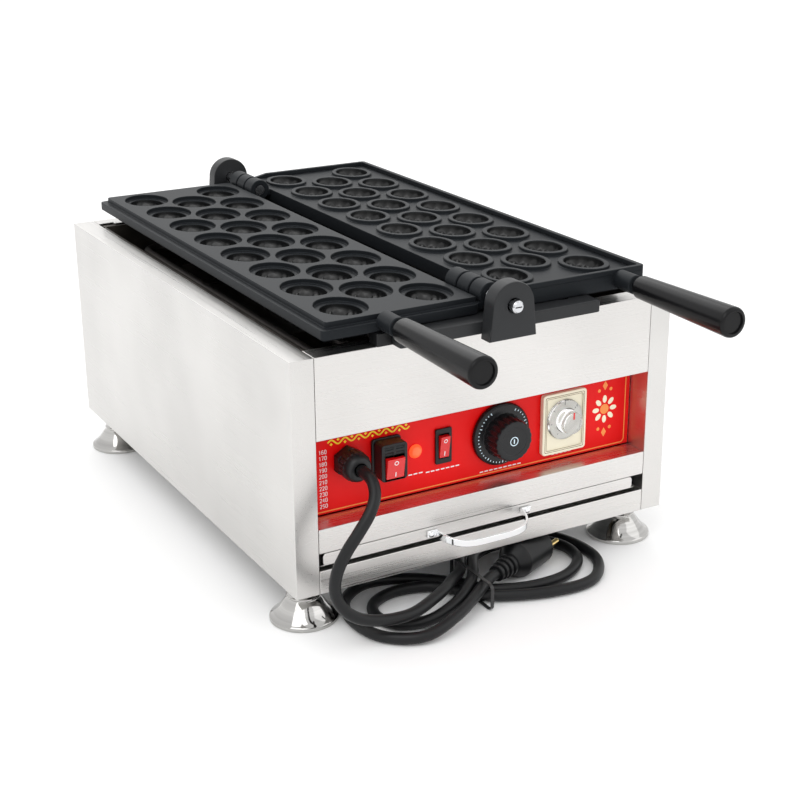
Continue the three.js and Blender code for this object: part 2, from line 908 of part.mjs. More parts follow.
function dripTray() {
  const front = facing(
    roundedRectangle(-trayLeft, trayRight, trayBottom, trayTop, trayCornerRadius),
    -halfDepth, -halfDepth + sheet, 3,
  );
  const box = block(
    -trayLeft + sheet, trayRight - sheet, -halfDepth + sheet / 2, -halfDepth + trayDepth,
    trayBottom, trayTop - sheet,
  );
  const hollow = block(
    -trayLeft + 2 * sheet, trayRight - 2 * sheet, -halfDepth + sheet, -halfDepth + trayDepth - sheet,
    trayBottom + sheet, trayTop + overrun,
  );
  return cut(joined([front, box]), [hollow]);
}

function trayRunner(side) {
  const edge = side < 0 ? -trayLeft : trayRight;
  const web = edge - side * runnerInset;
  const low = floorZ + gap + 2 * sheet + gap;
  const high = trayBottom - gap;
  const shape = new THREE.Shape(
    [
      [web + side * runnerFootLeg, low],
      [web, low],
      [web, high - sheet],
      [web - side * (runnerTopLeg - sheet), high - sheet],
      [web - side * (runnerTopLeg - sheet), high],
      [web + side * sheet, high],
      [web + side * sheet, low + sheet],
      [web + side * runnerFootLeg, low + sheet],
    ].map(([x, z]) => new THREE.Vector2(x, z)),
  );
  return facing(shape, -runnerLength / 2, runnerLength / 2);
}

// Both runners, with a strap across their back ends.
function trayRunners() {
  const low = floorZ + gap + 2 * sheet + gap;
  const strap = block(
    -trayLeft + runnerInset, trayRight - runnerInset, runnerLength / 2 - runnerStrap,
    runnerLength / 2, low, low + sheet,
  );
  return joined([trayRunner(-1), trayRunner(1), strap]);
}

function trayPull() {
  const z = trayBottom + trayFrontHeight / 2;
  const middle = (pullLeft + pullRight) / 2;
  const half = (pullRight - pullLeft) / 2;
  const bow = half - pullEar;
  const seat = -halfDepth - gap - pullThickness / 2;
  const points = [new THREE.Vector3(pullLeft, seat, z)];
  const steps = 2 * bendSteps;
  for (let i = 0; i <= steps; i++) {
    const share = (2 * i) / steps - 1;
    const swell = Math.sqrt(Math.max(0, 1 - share ** 4));
    points.push(
      new THREE.Vector3(middle + bow * share, seat - pullReach * swell, z - pullDrop * swell),
    );
  }
  points.push(new THREE.Vector3(pullRight, seat, z));
  const flat = [
    [-pullThickness / 2, -pullWidth / 2],
    [-pullThickness / 2, pullWidth / 2],
    [pullThickness / 2, pullWidth / 2],
    [pullThickness / 2, -pullWidth / 2],
  ];
  return solidOf(swept(points, flat, vertical));
}

// Hinge bracket: a bar bolted on the cabinet's edge with an ear for the pin, at the front
function hingeBracket() {
  const bar = block(
    -barHalfLength, barHalfLength, -earBack - overrun / 3, -halfDepth + barBack, barBottom, barBottom + barHeight,
  );
  const earBottom = barBottom - gap - earDrop;
  const ear = new THREE.Shape();
  ear.moveTo(-earFootHalfWidth, earBottom);
  ear.lineTo(earFootHalfWidth, earBottom);
  ear.lineTo(earTopRadius, hingeZ);
  ear.absarc(0, hingeZ, earTopRadius, 0, Math.PI);
  const plate = facing(ear, -earFront, -earBack, bigRoundSides / 2);
  const bore = rodAlongY(pinRadius + runningGap, -earFront - overrun, -earBack + overrun, 0, hingeZ);
  const bolts = [];
  for (const x of [-boltX, boltX]) {
    const y = -halfDepth + boltInset;
    const top = barBottom + barHeight;
    bolts.push(rodUp(boltRadius + runningGap, barBottom - overrun, top + overrun, x, y, boltSides));
    bolts.push(rodUp(boltHeadRadius + runningGap, top - boltWellDepth, top + overrun, x, y));
  }
  return cut(joined([bar, plate]), [bore, ...bolts]);
}

function hingePin() {
  const inner = plateHalfDepth - knuckleStart - 2 * knucklePitch - knuckleLength;
  const collarEnd = plateHalfDepth + gap;
  return turnedAlongY(
    [
      [0, -pinEnd],
      [pinRadius, -pinEnd],
      [pinRadius, -collarEnd - pinCollarLength],
      [pinCollarRadius, -collarEnd - pinCollarLength],
      [pinCollarRadius, -collarEnd],
      [pinRadius, -collarEnd],
      [pinRadius, -inner],
      [0, -inner],
    ],
    0, hingeZ,
  );
}

function bracketBolt(x) {
  const y = -halfDepth + boltInset;
  const seat = barBottom + barHeight - boltWellDepth + gap;
  const bolt = turnedUp(
    [
      [0, seat - boltLength],
      [boltRadius, seat - boltLength],
      [boltRadius, seat],
      [boltHeadRadius, seat],
      [boltHeadRadius, seat + boltHeadHeight],
      [0, seat + boltHeadHeight],
    ],
    x, y, boltSides,
  );
  const socket = raised(
    polygon(hexSides, boltSocketRadius, x, y),
    seat + boltHeadHeight - boltSocketDepth, seat + boltHeadHeight + overrun,
  );
  return cut(bolt, [socket]);
}

// Mould plates. Both are drawn to the right of the hinge, with z = 0 where they meet.
function ellipseRing(halfX, halfY, x, y, z) {
  const ring = [];
  for (let i = 0; i < mouldSides; i++) {
    const angle = (-2 * Math.PI * i) / mouldSides;
    ring.push(new THREE.Vector3(x + halfX * Math.cos(angle), y + halfY * Math.sin(angle), z));
  }
  return ring;
}

function mouldCentres() {
  const centres = [];
  mouldColumnCounts.forEach((count, column) => {
    const x = mouldColumnX + column * mouldColumnPitch;
    for (let row = 0; row < count; row++) {
      centres.push([x, (row - (count - 1) / 2) * mouldPitch]);
    }
  });
  return centres;
}

// The bowl of one mould, cut down from a given face.
function bowlCutter(x, y, face) {
  const level = (shares) =>
    ellipseRing(
      bowlHalfWidth * shares.size, bowlHalfLength * shares.size, x, y,
      face - bowlDepth * shares.depth,
    );
  const rings = [
    ellipseRing(bowlHalfWidth, bowlHalfLength, x, y, face + overrun),
    ellipseRing(bowlHalfWidth, bowlHalfLength, x, y, face),
    level(bowlShoulderShares),
    level(bowlFloorShares),
  ];
  return solidOf(loft(rings));
}

// The raised seam along the floor of a bowl, which parts the two halves of the nut.
function bowlSeam(x, y, face) {
  const floor = face - bowlDepth;
  const seam = new THREE.Shape([
    new THREE.Vector2(x - seamWidth, floor - seamSink),
    new THREE.Vector2(x + seamWidth, floor - seamSink),
    new THREE.Vector2(x + seamWidth / 4, floor + seamHeight),
    new THREE.Vector2(x - seamWidth / 4, floor + seamHeight),
  ]);
  return facing(seam, y - seamLength / 2, y + seamLength / 2);
}

function plateBlank(edgeTop) {
  const outline = roundedRectangle(
    plateInner, plateOuter, -plateHalfDepth, plateHalfDepth, plateCornerRadius,
  );
  const core = block(
    plateCoreInner, plateOuter - plateCoreMargin, -plateHalfDepth + plateCoreEnd,
    plateHalfDepth - plateCoreEnd, -plateCoreBottom, -plateFace - borderDrop,
  );
  return joined([raised(outline, -plateEdgeBottom, edgeTop, 2), core]);
}

// Hinge knuckles. Each plate has two at one end and one at the other, each on a short web.
function knuckleSpans(index) {
  const spans = [];
  for (let i = 0; i < 3; i++) {
    const near = plateHalfDepth - knuckleStart - i * knucklePitch;
    if (i % 2 === index) spans.push([-near, -near + knuckleLength]);
    if (i % 2 !== index) spans.push([near - knuckleLength, near]);
  }
  return spans;
}

function knuckle(y0, y1, webTop) {
  const barrel = rodAlongY(knuckleRadius, y0, y1, 0, 0);
  const web = block(0, plateInner - gap, y0, y1, webTop - knuckleWebHeight, webTop);
  const bore = rodAlongY(pinRadius + runningGap, y0 - overrun, y1 + overrun, 0, 0);
  return cut(joined([barrel, web]), [bore]);
}

// The boss's root stays below the plate's edge, so that the other plate shuts on it.
function withBoss(plate, x, top) {
  const root = rodAlongY(bossRadius, -bossEnd, -plateHalfDepth + overrun, x, -handleDrop);
  const proud = block(
    x - bossRadius - overrun, x + bossRadius + overrun, -plateHalfDepth - gap,
    -plateHalfDepth + 2 * overrun, top, bossRadius + overrun,
  );
  const boss = cut(root, [proud]);
  const bore = rodAlongY(
    rodRadius + gap, -bossEnd - overrun, -bossEnd + rodInBoss + gap, x, -handleDrop, boltSides,
  );
  return cut(joined([plate, boss]), [bore]);
}

// The left plate: a raised field inside a lowered border, each mould in a shallow seat.
function leftPlate() {
  const blank = plateBlank(-plateFace - borderDrop);
  const field = block(
    plateInner, plateOuter - borderWidth, -plateHalfDepth + borderWidth,
    plateHalfDepth - borderWidth, -plateEdgeBottom, -plateFace,
  );
  const floor = -plateFace - seatDepth;
  const cutters = [];
  const seams = [];
  for (const [x, y] of mouldCentres()) {
    const seat = loft([
      ellipseRing(seatHalfWidth, seatHalfLength, x, y, overrun),
      ellipseRing(seatHalfWidth, seatHalfLength, x, y, floor),
    ]);
    cutters.push(solidOf(seat).add(bowlCutter(x, y, floor)));
    seams.push(bowlSeam(x, y, floor));
  }
  const moulded = joined([cut(joined([blank, field]), cutters), ...seams]);
  return withBoss(moulded, leftHandleX, -plateFace - borderDrop);
}

// What takes the rim's ends down to the field beside the hinge, where the other plate swings in.
function rimRunOutCutter() {
  const slope = new THREE.Shape([
    new THREE.Vector2(plateInner - overrun, -plateFace),
    new THREE.Vector2(plateInner, -plateFace),
    new THREE.Vector2(plateInner + rimRunOut, rimRise),
    new THREE.Vector2(plateInner + rimRunOut, rimRise + overrun),
    new THREE.Vector2(plateInner - overrun, rimRise + overrun),
  ]);
  return facing(slope, -plateHalfDepth - overrun, plateHalfDepth + overrun);
}

// The right plate: a raised rim round its field, each mould inside a raised ring.
function rightPlate() {
  const blank = plateBlank(rimRise);
  const field = block(
    plateInner - overrun, plateOuter - rimWidth, -plateHalfDepth + rimWidth,
    plateHalfDepth - rimWidth, -plateFace, rimRise + overrun,
  );
  const rings = [];
  const cutters = [];
  const seams = [];
  const top = -plateFace + ringRise;
  for (const [x, y] of mouldCentres()) {
    const halfX = seatHalfWidth - ringClearance;
    const halfY = seatHalfLength - ringClearance;
    const ring = loft([
      ellipseRing(halfX, halfY, x, y, top),
      ellipseRing(halfX, halfY, x, y, -plateFace - borderDrop),
    ]);
    rings.push(solidOf(ring));
    cutters.push(bowlCutter(x, y, top));
    seams.push(bowlSeam(x, y, top));
  }
  const rimmed = cut(blank, [field, rimRunOutCutter()]);
  const moulded = joined([cut(joined([rimmed, ...rings]), cutters), ...seams]);
  return withBoss(moulded, rightHandleX, rimRise);
}

// Handles: a steel rod in the plate's boss, with a tapered grip on it
const handleZ = hingeZ - handleDrop;

function handleRod(x) {
  return rodAlongY(rodRadius, -gripStart - rodInGrip, -bossEnd + rodInBoss, x, handleZ, boltSides);
}

function handleGrip(x) {
  const well = gripEndRadius * gripWellShare;
  const grip = turnedAlongY(
    [
      [0, -gripEnd + gripWellDepth],
      [well, -gripEnd + gripWellDepth],
      [well, -gripEnd],
      [gripEndRadius - gripEdge, -gripEnd],
      [gripEndRadius, -gripEnd + gripEdge],
      [gripNeckRadius, -gripStart - gripEdge],
      [gripNeckRadius - gripEdge, -gripStart],
      [0, -gripStart],
    ],
    x, handleZ, bigRoundSides,
  );
  const bore = rodAlongY(
    rodRadius + gap, -gripStart - rodInGrip - gap, -gripStart + overrun, x, handleZ, boltSides,
  );
  return cut(grip, [bore]);
}

function foot(x, y) {
  const height = footHeight - gap;
  const profile = footProfileShares.map(([r, h]) => [r * footRadius, h * height]);
  return turnedUp(
    [
      [0, 0],
      ...profile,
      [footStudRadius, height],
      [footStudRadius, height + footStudLength],
      [0, height + footStudLength],
    ],
    x, y, bigRoundSides,
  );
}

// Control panel items. Each stands on the fascia and reaches through the panel behind it.
const panelFace = -halfDepth + postReturn - fasciaThickness - gap;
const panelBack = -halfDepth + postReturn + gap + sheet;
const standOn = panelFace - gap;

// The gland's body: a flanged thread through the panel, with its lock nut behind.
function cableGland() {
  const z = floorZ + glandZ;
  const hex = facing(polygon(hexSides, glandHexRadius, glandX, z), standOn - glandHexLength, standOn);
  const thread = rodAlongY(
    glandThreadRadius, standOn - overrun, standOn + glandThreadLength, glandX, z,
  );
  const bore = rodAlongY(
    cordRadius + gap, standOn - glandHexLength - overrun, standOn + glandThreadLength + overrun,
    glandX, z,
  );
  const nutFront = panelBack + gap;
  const nut = facing(
    polygon(hexSides, glandHexRadius, glandX, z), nutFront, nutFront + glandNutLength,
  );
  return cut(joined([hex, thread, nut]), [bore]);
}

const glandMouth = standOn - glandHexLength - gap - glandDomeLength;

function glandDomeNut() {
  const z = floorZ + glandZ;
  const back = standOn - glandHexLength - gap;
  const dome = turnedAlongY(
    [
      [0, glandMouth],
      [glandDomeMouthRadius, glandMouth],
      [(glandDomeMouthRadius + glandDomeRadius) / 2, glandMouth + glandDomeLength / 8],
      [glandDomeRadius, glandMouth + glandDomeLength / 2],
      [glandDomeRadius, back],
      [0, back],
    ],
    glandX, z,
  );
  const bore = rodAlongY(
    cordRadius + gap, glandMouth + glandDomeLength / 4, back + overrun, glandX, z,
  );
  return cut(dome, [bore]);
}

// A switch housing behind the panel, with flat blades for the wires.
function switchBack(x, z, width, height, front) {
  const back = front + switchBodyDepth;
  const body = block(x - width / 2, x + width / 2, front, back, z - height / 2, z + height / 2);
  const blades = [-height / 4, height / 4].map((dz) =>
    block(
      x - bladeWidth / 2, x + bladeWidth / 2, back - overrun, back + bladeLength,
      z + dz - bladeThickness / 2, z + dz + bladeThickness / 2,
    ),
  );
  return joined([body, ...blades]);
}

function powerSwitchBody() {
  const z = floorZ + powerZ;
  const flangeFront = standOn - powerFlangeThickness;
  const halfW = powerFlangeWidth / 2;
  const halfH = powerFlangeHeight / 2;
  const flange = facing(
    roundedRectangle(powerX - halfW, powerX + halfW, z - halfH, z + halfH, bootCornerRadius),
    flangeFront, standOn, 3,
  );
  const bootFront = flangeFront - bootDepth;
  const boot = facing(
    roundedRectangle(
      powerX - bootWidth / 2, powerX + bootWidth / 2, z - bootHeight / 2, z + bootHeight / 2,
      bootCornerRadius,
    ),
    bootFront, flangeFront + overrun / 3, 3,
  );
  const inset = 2 * switchBodyInset;
  const back = switchBack(
    powerX, z, powerFlangeWidth - inset, powerFlangeHeight - inset, standOn - overrun / 3,
  );
  const rockerZ = z + powerRockerOffset;
  const well = block(
    powerX - powerRockerWidth / 2 - gap, powerX + powerRockerWidth / 2 + gap,
    bootFront - overrun, bootFront + rockerWellDepth,
    rockerZ - powerRockerHeight / 2 - runningGap, rockerZ + powerRockerHeight / 2 + runningGap,
  );
  const slots = [];
  for (const row of [0, 1]) {
    for (const side of [-1, 1]) {
      const slotZ = z + bootHeight / 2 - bootSlotPitch * (row + 0.8);
      const slotX = powerX + (side * (bootSlotWidth + bootSlotHeight)) / 2;
      slots.push(
        block(
          slotX - bootSlotWidth / 2, slotX + bootSlotWidth / 2, bootFront - overrun,
          bootFront + bootSlotDepth, slotZ - bootSlotHeight / 2, slotZ + bootSlotHeight / 2,
        ),
      );
    }
  }
  return cut(joined([flange, boot, back]), [well, ...slots]);
}

// A rocker drawn level about its pivot and tipped so that its lower half is pressed in.
function rocker(x, z, width, height, front) {
  const tip = Math.sin(THREE.MathUtils.degToRad(rockerTilt)) * (height / 2);
  const shape = new THREE.Shape();
  shape.moveTo(-rockerProud, -height / 2 + runningGap);
  shape.lineTo(-rockerProud, height / 2 - runningGap);
  shape.lineTo(rockerDepth - tip - rockerProud, height / 2 - runningGap - tip / 2);
  shape.lineTo(rockerDepth - tip - rockerProud, -height / 2 + runningGap + tip / 2);
  const geometry = geometryOf(across(shape, -width / 2, width / 2));
  geometry.rotateX(THREE.MathUtils.degToRad(rockerTilt));
  geometry.translate(x, front, z);
  return solidOf(geometry);
}

const powerRockerFront = standOn - powerFlangeThickness - bootDepth;
const powerPivotZ = floorZ + powerZ + powerRockerOffset;
const alarmRockerFront = standOn - alarmFlangeThickness;

function alarmSwitchBody() {
  const z = floorZ + alarmZ;
  const flangeFront = standOn - alarmFlangeThickness;
  const halfW = alarmFlangeWidth / 2;
  const halfH = alarmFlangeHeight / 2;
  const flange = facing(
    roundedRectangle(alarmX - halfW, alarmX + halfW, z - halfH, z + halfH, sheet),
    flangeFront, standOn, 2,
  );
  const inset = 2 * switchBodyInset;
  const back = switchBack(
    alarmX, z, alarmFlangeWidth - inset, alarmFlangeHeight - inset, standOn - overrun / 3,
  );
  const well = block(
    alarmX - alarmRockerWidth / 2 - gap, alarmX + alarmRockerWidth / 2 + gap,
    flangeFront - overrun, flangeFront + rockerWellDepth,
    z - alarmRockerHeight / 2 - runningGap, z + alarmRockerHeight / 2 + runningGap,
  );
  return cut(joined([flange, back]), [well]);
}

function pilotLamp() {
  const front = standOn - lampDome;
  return turnedAlongY(
    [
      [0, front],
      [lampRadius * 0.6, front + lampDome * 0.12],
      [lampRadius * 0.92, front + lampDome * 0.5],
      [lampRadius, standOn],
      [lampStemRadius, standOn],
      [lampStemRadius, standOn + lampStemLength],
      [0, standOn + lampStemLength],
    ],
    lampX, floorZ + lampZ,
  );
}

function thermostatBody() {
  const z = floorZ + dialZ;
  const front = panelBack + gap;
  const body = block(
    dialX - thermostatWidth / 2, dialX + thermostatWidth / 2, front, front + thermostatDepth,
    z - thermostatHeight / 2, z + thermostatHeight / 2,
  );
  const bush = rodAlongY(thermostatBushRadius, standOn, front + overrun, dialX, z);
  const bore = rodAlongY(
    dialShaftRadius + runningGap, standOn - overrun, front + thermostatDepth / 2, dialX, z,
    boltSides,
  );
  return cut(joined([body, bush]), [bore]);
}

const dialFront = standOn - gap - dialSkirtDepth - dialGripDepth;

// The dial and the shaft that it turns.
function thermostatDial() {
  const z = floorZ + dialZ;
  const back = standOn - gap;
  const skirtFront = back - dialSkirtDepth;
  const top = dialGripRadius * dialGripTaperShare;
  const dial = turnedAlongY(
    [
      [0, dialFront + dialCapDepth],
      [dialCapRadius, dialFront + dialCapDepth],
      [dialCapRadius, dialFront],
      [top - dialCapDepth, dialFront],
      [top, dialFront + dialCapDepth],
      [dialGripRadius, skirtFront],
      [dialSkirtRadius * 0.93, skirtFront],
      [dialSkirtRadius, skirtFront + dialSkirtDepth * 0.6],
      [dialSkirtRadius, back],
      [0, back],
    ],
    dialX, z, dialSides,
  );
  const shaft = rodAlongY(
    dialShaftRadius, back - dialShaftInDial, panelBack + thermostatDepth / 2, dialX, z, boltSides,
  );
  return joined([dial, shaft]);
}

// The thermostat's bulb lies across the heater supports, and a thin pipe joins it to the body.
const capillaryX = 0;
const capillaryRiseY = -130;
const capillaryTop = heaterZ;

function capillary() {
  const startY = panelBack + gap + thermostatDepth + gap;
  const corner = 10;
  const startZ = floorZ + dialZ + thermostatHeight / 4;
  const x = capillaryX;
  const bulbStart = capillaryRiseY + corner;
  const route = new THREE.CatmullRomCurve3([
    new THREE.Vector3(dialX, startY, startZ),
    new THREE.Vector3(dialX, startY + corner, startZ),
    new THREE.Vector3(dialX / 2, (startY + capillaryRiseY) / 2, startZ + corner),
    new THREE.Vector3(x, capillaryRiseY, chamberFloor - 2 * corner),
    new THREE.Vector3(x, capillaryRiseY, chamberFloor),
    new THREE.Vector3(x, capillaryRiseY, capillaryTop - corner),
    new THREE.Vector3(x, bulbStart, capillaryTop),
    new THREE.Vector3(x, bulbStart + corner, capillaryTop),
  ]);
  const pipe = solidOf(
    swept(route.getSpacedPoints(bigRoundSides), circleSection(capillaryRadius, hexSides), vertical),
  );
  const bulb = rodAlongY(bulbRadius, bulbStart + corner / 2, bulbStart + bulbLength, x, capillaryTop, boltSides);
  return joined([pipe, bulb]);
}

function timerHousing() {
  const z = floorZ + timerZ;
  const front = standOn - timerThickness;
  const halfW = timerWidth / 2;
  const halfH = timerHeight / 2;
  const frame = facing(
    roundedRectangle(timerX - halfW, timerX + halfW, z - halfH, z + halfH, timerCornerRadius),
    front, standOn, 3,
  );
  const well = facing(
    roundedRectangle(
      timerX - halfW + timerWellMargin, timerX + halfW - timerWellMargin,
      z - halfH + timerWellMargin, z + halfH - timerWellMargin, timerCornerRadius,
    ),
    front - overrun, front + timerWellDepth, 3,
  );
  const body = block(
    timerX - timerBodyWidth / 2, timerX + timerBodyWidth / 2, standOn - overrun / 3,
    standOn + timerBodyDepth, z - timerBodyHeight / 2, z + timerBodyHeight / 2,
  );
  const bore = rodAlongY(
    timerStemRadius + runningGap, front - overrun, front + timerBoreDepth, timerX,
    z + timerKnobRise, boltSides,
  );
  return cut(joined([frame, body]), [well, bore]);
}

const timerKnobBack = standOn - timerThickness + timerWellDepth - gap;

function timerKnob() {
  const z = floorZ + timerZ + timerKnobRise;
  const front = timerKnobBack - timerKnobDepth;
  return turnedAlongY(
    [
      [0, front],
      [timerKnobRadius * 0.5, front],
      [timerKnobRadius * 0.58, front + timerKnobDepth * 0.08],
      [timerKnobRadius * 0.64, timerKnobBack - timerKnobDepth * 0.3],
      [timerKnobRadius * 0.94, timerKnobBack - timerKnobDepth * 0.22],
      [timerKnobRadius, timerKnobBack - timerKnobDepth * 0.12],
      [timerKnobRadius, timerKnobBack],
      [timerStemRadius, timerKnobBack],
      [timerStemRadius, timerKnobBack + timerStemLength],
      [0, timerKnobBack + timerStemLength],
    ],
    timerX, z, bigRoundSides,
  );
}

function terminalBlock() {
  const base = floorZ + 2 * sheet + 2 * gap;
  const x0 = terminalX - terminalLength / 2;
  const blank = block(
    x0, x0 + terminalLength, terminalY, terminalY + terminalDepth, base, base + terminalHeight,
  );
  const pitch = terminalLength / terminalWays;
  const wells = [];
  for (let i = 0; i < terminalWays; i++) {
    const x = x0 + (i + 0.5) * pitch;
    wells.push(
      block(
        x - pitch / 3, x + pitch / 3, terminalY - overrun, terminalY + terminalDepth + overrun,
        base + terminalHeight - terminalWellDepth, base + terminalHeight + overrun,
      ),
    );
  }
  return cut(blank, wells);
}

function buzzer() {
  const front = panelBack + gap;
  return rodAlongY(buzzerRadius, front, front + buzzerLength, buzzerX, floorZ + timerZ);
}

// Mains cord
function at([aside, behind, height]) {
  return new THREE.Vector3(glandX + aside, -halfDepth + behind, height);
}

function headingOf(degrees) {
  const angle = THREE.MathUtils.degToRad(degrees);
  return new THREE.Vector3(Math.cos(angle), Math.sin(angle), 0);
}

const underHeight = cordRadius + tieThickness + tieClearance;
const overHeight = underHeight + cordDiameter + cordGap;
const tieReach = (strandSpacing + cordRadius + tieWidth) / Math.cos(THREE.MathUtils.degToRad(overHeading));
const tieHalfWidth = tieReach + tieClearance + tieThickness;
const tieTop = overHeight + cordRadius + tieClearance + tieThickness;
const glandExit = new THREE.Vector3(glandX, glandMouth - gap, floorZ + glandZ);

// One drop-shaped lobe of the hank, from the waist down to the floor and back up to the waist.
function lobePoints({ reach, halfWidth: half, heading, side }, before, after) {
  const along = headingOf(heading);
  const aside = new THREE.Vector3(-along.y, along.x, 0);
  return lobeAngles.map((degrees, i) => {
    const angle = THREE.MathUtils.degToRad(degrees);
    const out = reach * Math.sin(angle) ** lobeFullnessShare;
    const off = side * half * Math.sin(2 * angle);
    const waistHeight = degrees < 90 ? before : after;
    const height = cordRadius + humpShares[i] * (waistHeight - cordRadius);
    return new THREE.Vector3(waistX, waistY, height)
      .addScaledVector(along, out)
      .addScaledVector(aside, off);
  });
}

// The two ends of a strand's level run over the waist.
function waistPoints(offset, heading, height, run) {
  const along = headingOf(heading);
  const aside = new THREE.Vector3(-along.y, along.x, 0);
  const middle = new THREE.Vector3(waistX, waistY, height).addScaledVector(
    aside, offset * strandSpacing,
  );
  return [-run, run].map((place) => middle.clone().addScaledVector(along, place));
}

const plugAim = headingOf(plugHeading);
const plugBack = new THREE.Vector3(
  glandX + plugAside, -halfDepth - plugReach, plugRadius + gap,
);

function hankCurve() {
  const start = at(hankStart);
  const first = at(hankStartAim).sub(start).normalize();
  const points = [
    start,
    start.clone().addScaledVector(first, cordDiameter),
    waistPoints(1, overHeading, overHeight, overRun)[1],
    ...lobePoints(hankLobes[0], overHeight, underHeight),
    ...waistPoints(0.5, underHeading, underHeight, underRun),
    ...lobePoints(hankLobes[1], underHeight, overHeight),
    ...waistPoints(0, overHeading, overHeight, overRun),
    ...lobePoints(hankLobes[2], overHeight, underHeight),
    ...waistPoints(-0.5, underHeading, underHeight, underRun),
    ...lobePoints(hankLobes[3], underHeight, overHeight),
    plugBack.clone().addScaledVector(plugAim, -gap - cordDiameter),
    plugBack.clone().addScaledVector(plugAim, -gap),
  ];
  return new THREE.CatmullRomCurve3(points, false, "centripetal");
}

// The hank's centre line in even steps, kept on the floor, with its ends straight.
function hankPoints() {
  const steps = hankLobes.length * lobeSteps;
  const points = hankCurve().getSpacedPoints(steps);
  points.forEach((point) => {
    point.z = Math.max(point.z, cordRadius);
  });
  return points;
}

// The least distance between strands of the hank that aren't neighbours along it.
function leastGap(points) {
  let least = Infinity;
  const apart = 3;
  for (let i = 0; i < points.length - 1; i++) {
    for (let j = i + apart; j < points.length - 1; j++) {
      for (let s = 0; s < 1; s += 0.25) {
        const a = points[i].clone().lerp(points[i + 1], s);
        for (let t = 0; t < 1; t += 0.25) {
          const b = points[j].clone().lerp(points[j + 1], t);
          least = Math.min(least, a.distanceTo(b));
        }
      }
    }
  }
  return least - cordDiameter;
}

function cordHank() {
  const points = hankPoints();
  console.log("least gap between the hank's strands:", leastGap(points).toFixed(2), "mm");
  return solidOf(swept(points, circleSection(cordRadius, hankSides), vertical));
}

function cordLead() {
  const start = at(hankStart);
  const first = at(hankStartAim).sub(start).normalize();
  const end = start.clone().addScaledVector(first, -gap);
  const route = new THREE.CatmullRomCurve3([
    glandExit,
    glandExit.clone().add(new THREE.Vector3(0, -cordDiameter, 0)),
    ...leadRoute.map(at),
    end.clone().addScaledVector(first, -cordDiameter),
    end,
  ], false, "centripetal");
  const section = new THREE.Shape();
  section.absarc(0, 0, cordRadius, 0, 2 * Math.PI);
  const geometry = new THREE.ExtrudeGeometry(section, {
    steps: Math.round(route.getLength() / cordStep) + 1,
    curveSegments: cordSides / 2,
    extrudePath: route,
    bevelEnabled: false,
  });
  return solidOf(geometry);
}

// A flat tie round the waist of the hank.
function cordTie() {
  const corner = cordRadius;
  const outer = roundedRectangle(
    waistY - tieHalfWidth, waistY + tieHalfWidth, tieClearance / 2, tieTop, corner,
  );
  outer.holes.push(
    roundedRectangle(
      waistY - tieHalfWidth + tieThickness, waistY + tieHalfWidth - tieThickness,
      tieClearance / 2 + tieThickness, tieTop - tieThickness, corner - tieThickness,
    ),
  );
  return across(outer, waistX - tieWidth / 2, waistX + tieWidth / 2);
}

// Plug: a ribbed strain relief, a shoulder and a round body with two pins
function placedOnPlug(geometry) {
  geometry.rotateZ(THREE.MathUtils.degToRad(plugHeading) - Math.PI / 2);
  geometry.translate(plugBack.x, plugBack.y, plugBack.z);
  return solidOf(geometry);
}

function plugBody() {
  const profile = [[0, 0]];
  const rib = plugReliefLength / reliefRibs;
  for (let i = 0; i < reliefRibs; i++) {
    const share = i / (reliefRibs - 1);
    const radius = plugNeckRadius + (plugCollarRadius - plugNeckRadius) * share;
    profile.push([radius, i * rib]);
    profile.push([radius, i * rib + rib * 0.6]);
    profile.push([radius - reliefGroove, i * rib + rib * 0.7]);
    profile.push([radius - reliefGroove, i * rib + rib * 0.95]);
  }
  const front = plugReliefLength + plugShoulder + plugBodyLength;
  const rim = plugRadius * plugFaceRimShare;
  profile.push([plugCollarRadius, plugReliefLength]);
  profile.push([plugCollarRadius * 1.25, plugReliefLength + plugShoulder * 0.3]);
  profile.push([plugRadius, plugReliefLength + plugShoulder]);
  profile.push([plugRadius, front - plugFaceRecess / 2]);
  profile.push([plugRadius - plugFaceRecess / 2, front]);
  profile.push([rim, front]);
  profile.push([rim, front - plugFaceRecess]);
  profile.push([0, front - plugFaceRecess]);
  const points = profile.map(([radius, place]) => new THREE.Vector2(radius, place));
  const body = placedOnPlug(new THREE.LatheGeometry(points, roundSides));
  const bores = [-1, 1].map((side) => plugPinRod(side, plugPinRadius + gap, gap, overrun));
  return cut(body, bores);
}

function plugPinRod(side, radius, deeper, further) {
  const face = plugReliefLength + plugShoulder + plugBodyLength - plugFaceRecess;
  const points = [
    new THREE.Vector2(0, face - plugPinSeat - deeper),
    new THREE.Vector2(radius, face - plugPinSeat - deeper),
    new THREE.Vector2(radius, face + plugPinLength + further),
    new THREE.Vector2(0, face + plugPinLength + further),
  ];
  const geometry = new THREE.LatheGeometry(points, boltSides);
  geometry.translate((side * pinPitch) / 2, 0, 0);
  return placedOnPlug(geometry);
}

// Assembly
addPiece("right_side_panel", sidePanel(), "steel");
addPiece("left_side_panel", sidePanel(), "steel").scale.x = -1;
addPiece("base_pan", basePan(), "zinc");
addPiece("back_panel", backPanel(), "steel");
addPiece("front_upper_panel", frontUpperPanel(), "steel");
addPiece("front_rail", frontRail(), "steel");
addPiece("front_sill", frontSill(), "steel");
addPiece("control_panel", controlPanel(), "steel");
addPiece("fascia", fascia(), "red");

addPiece("heating_chamber", chamber(), "zinc");
addPiece("heater_right", heater(), "heater");
addPiece("heater_left", heater(), "heater").scale.x = -1;
addPiece("heater_supports", heaterSupports(), "zinc");

addPiece("drip_tray", dripTray(), "steel");
addPiece("drip_tray_pull", trayPull(), "polished");
addPiece("tray_runners", trayRunners(), "zinc");

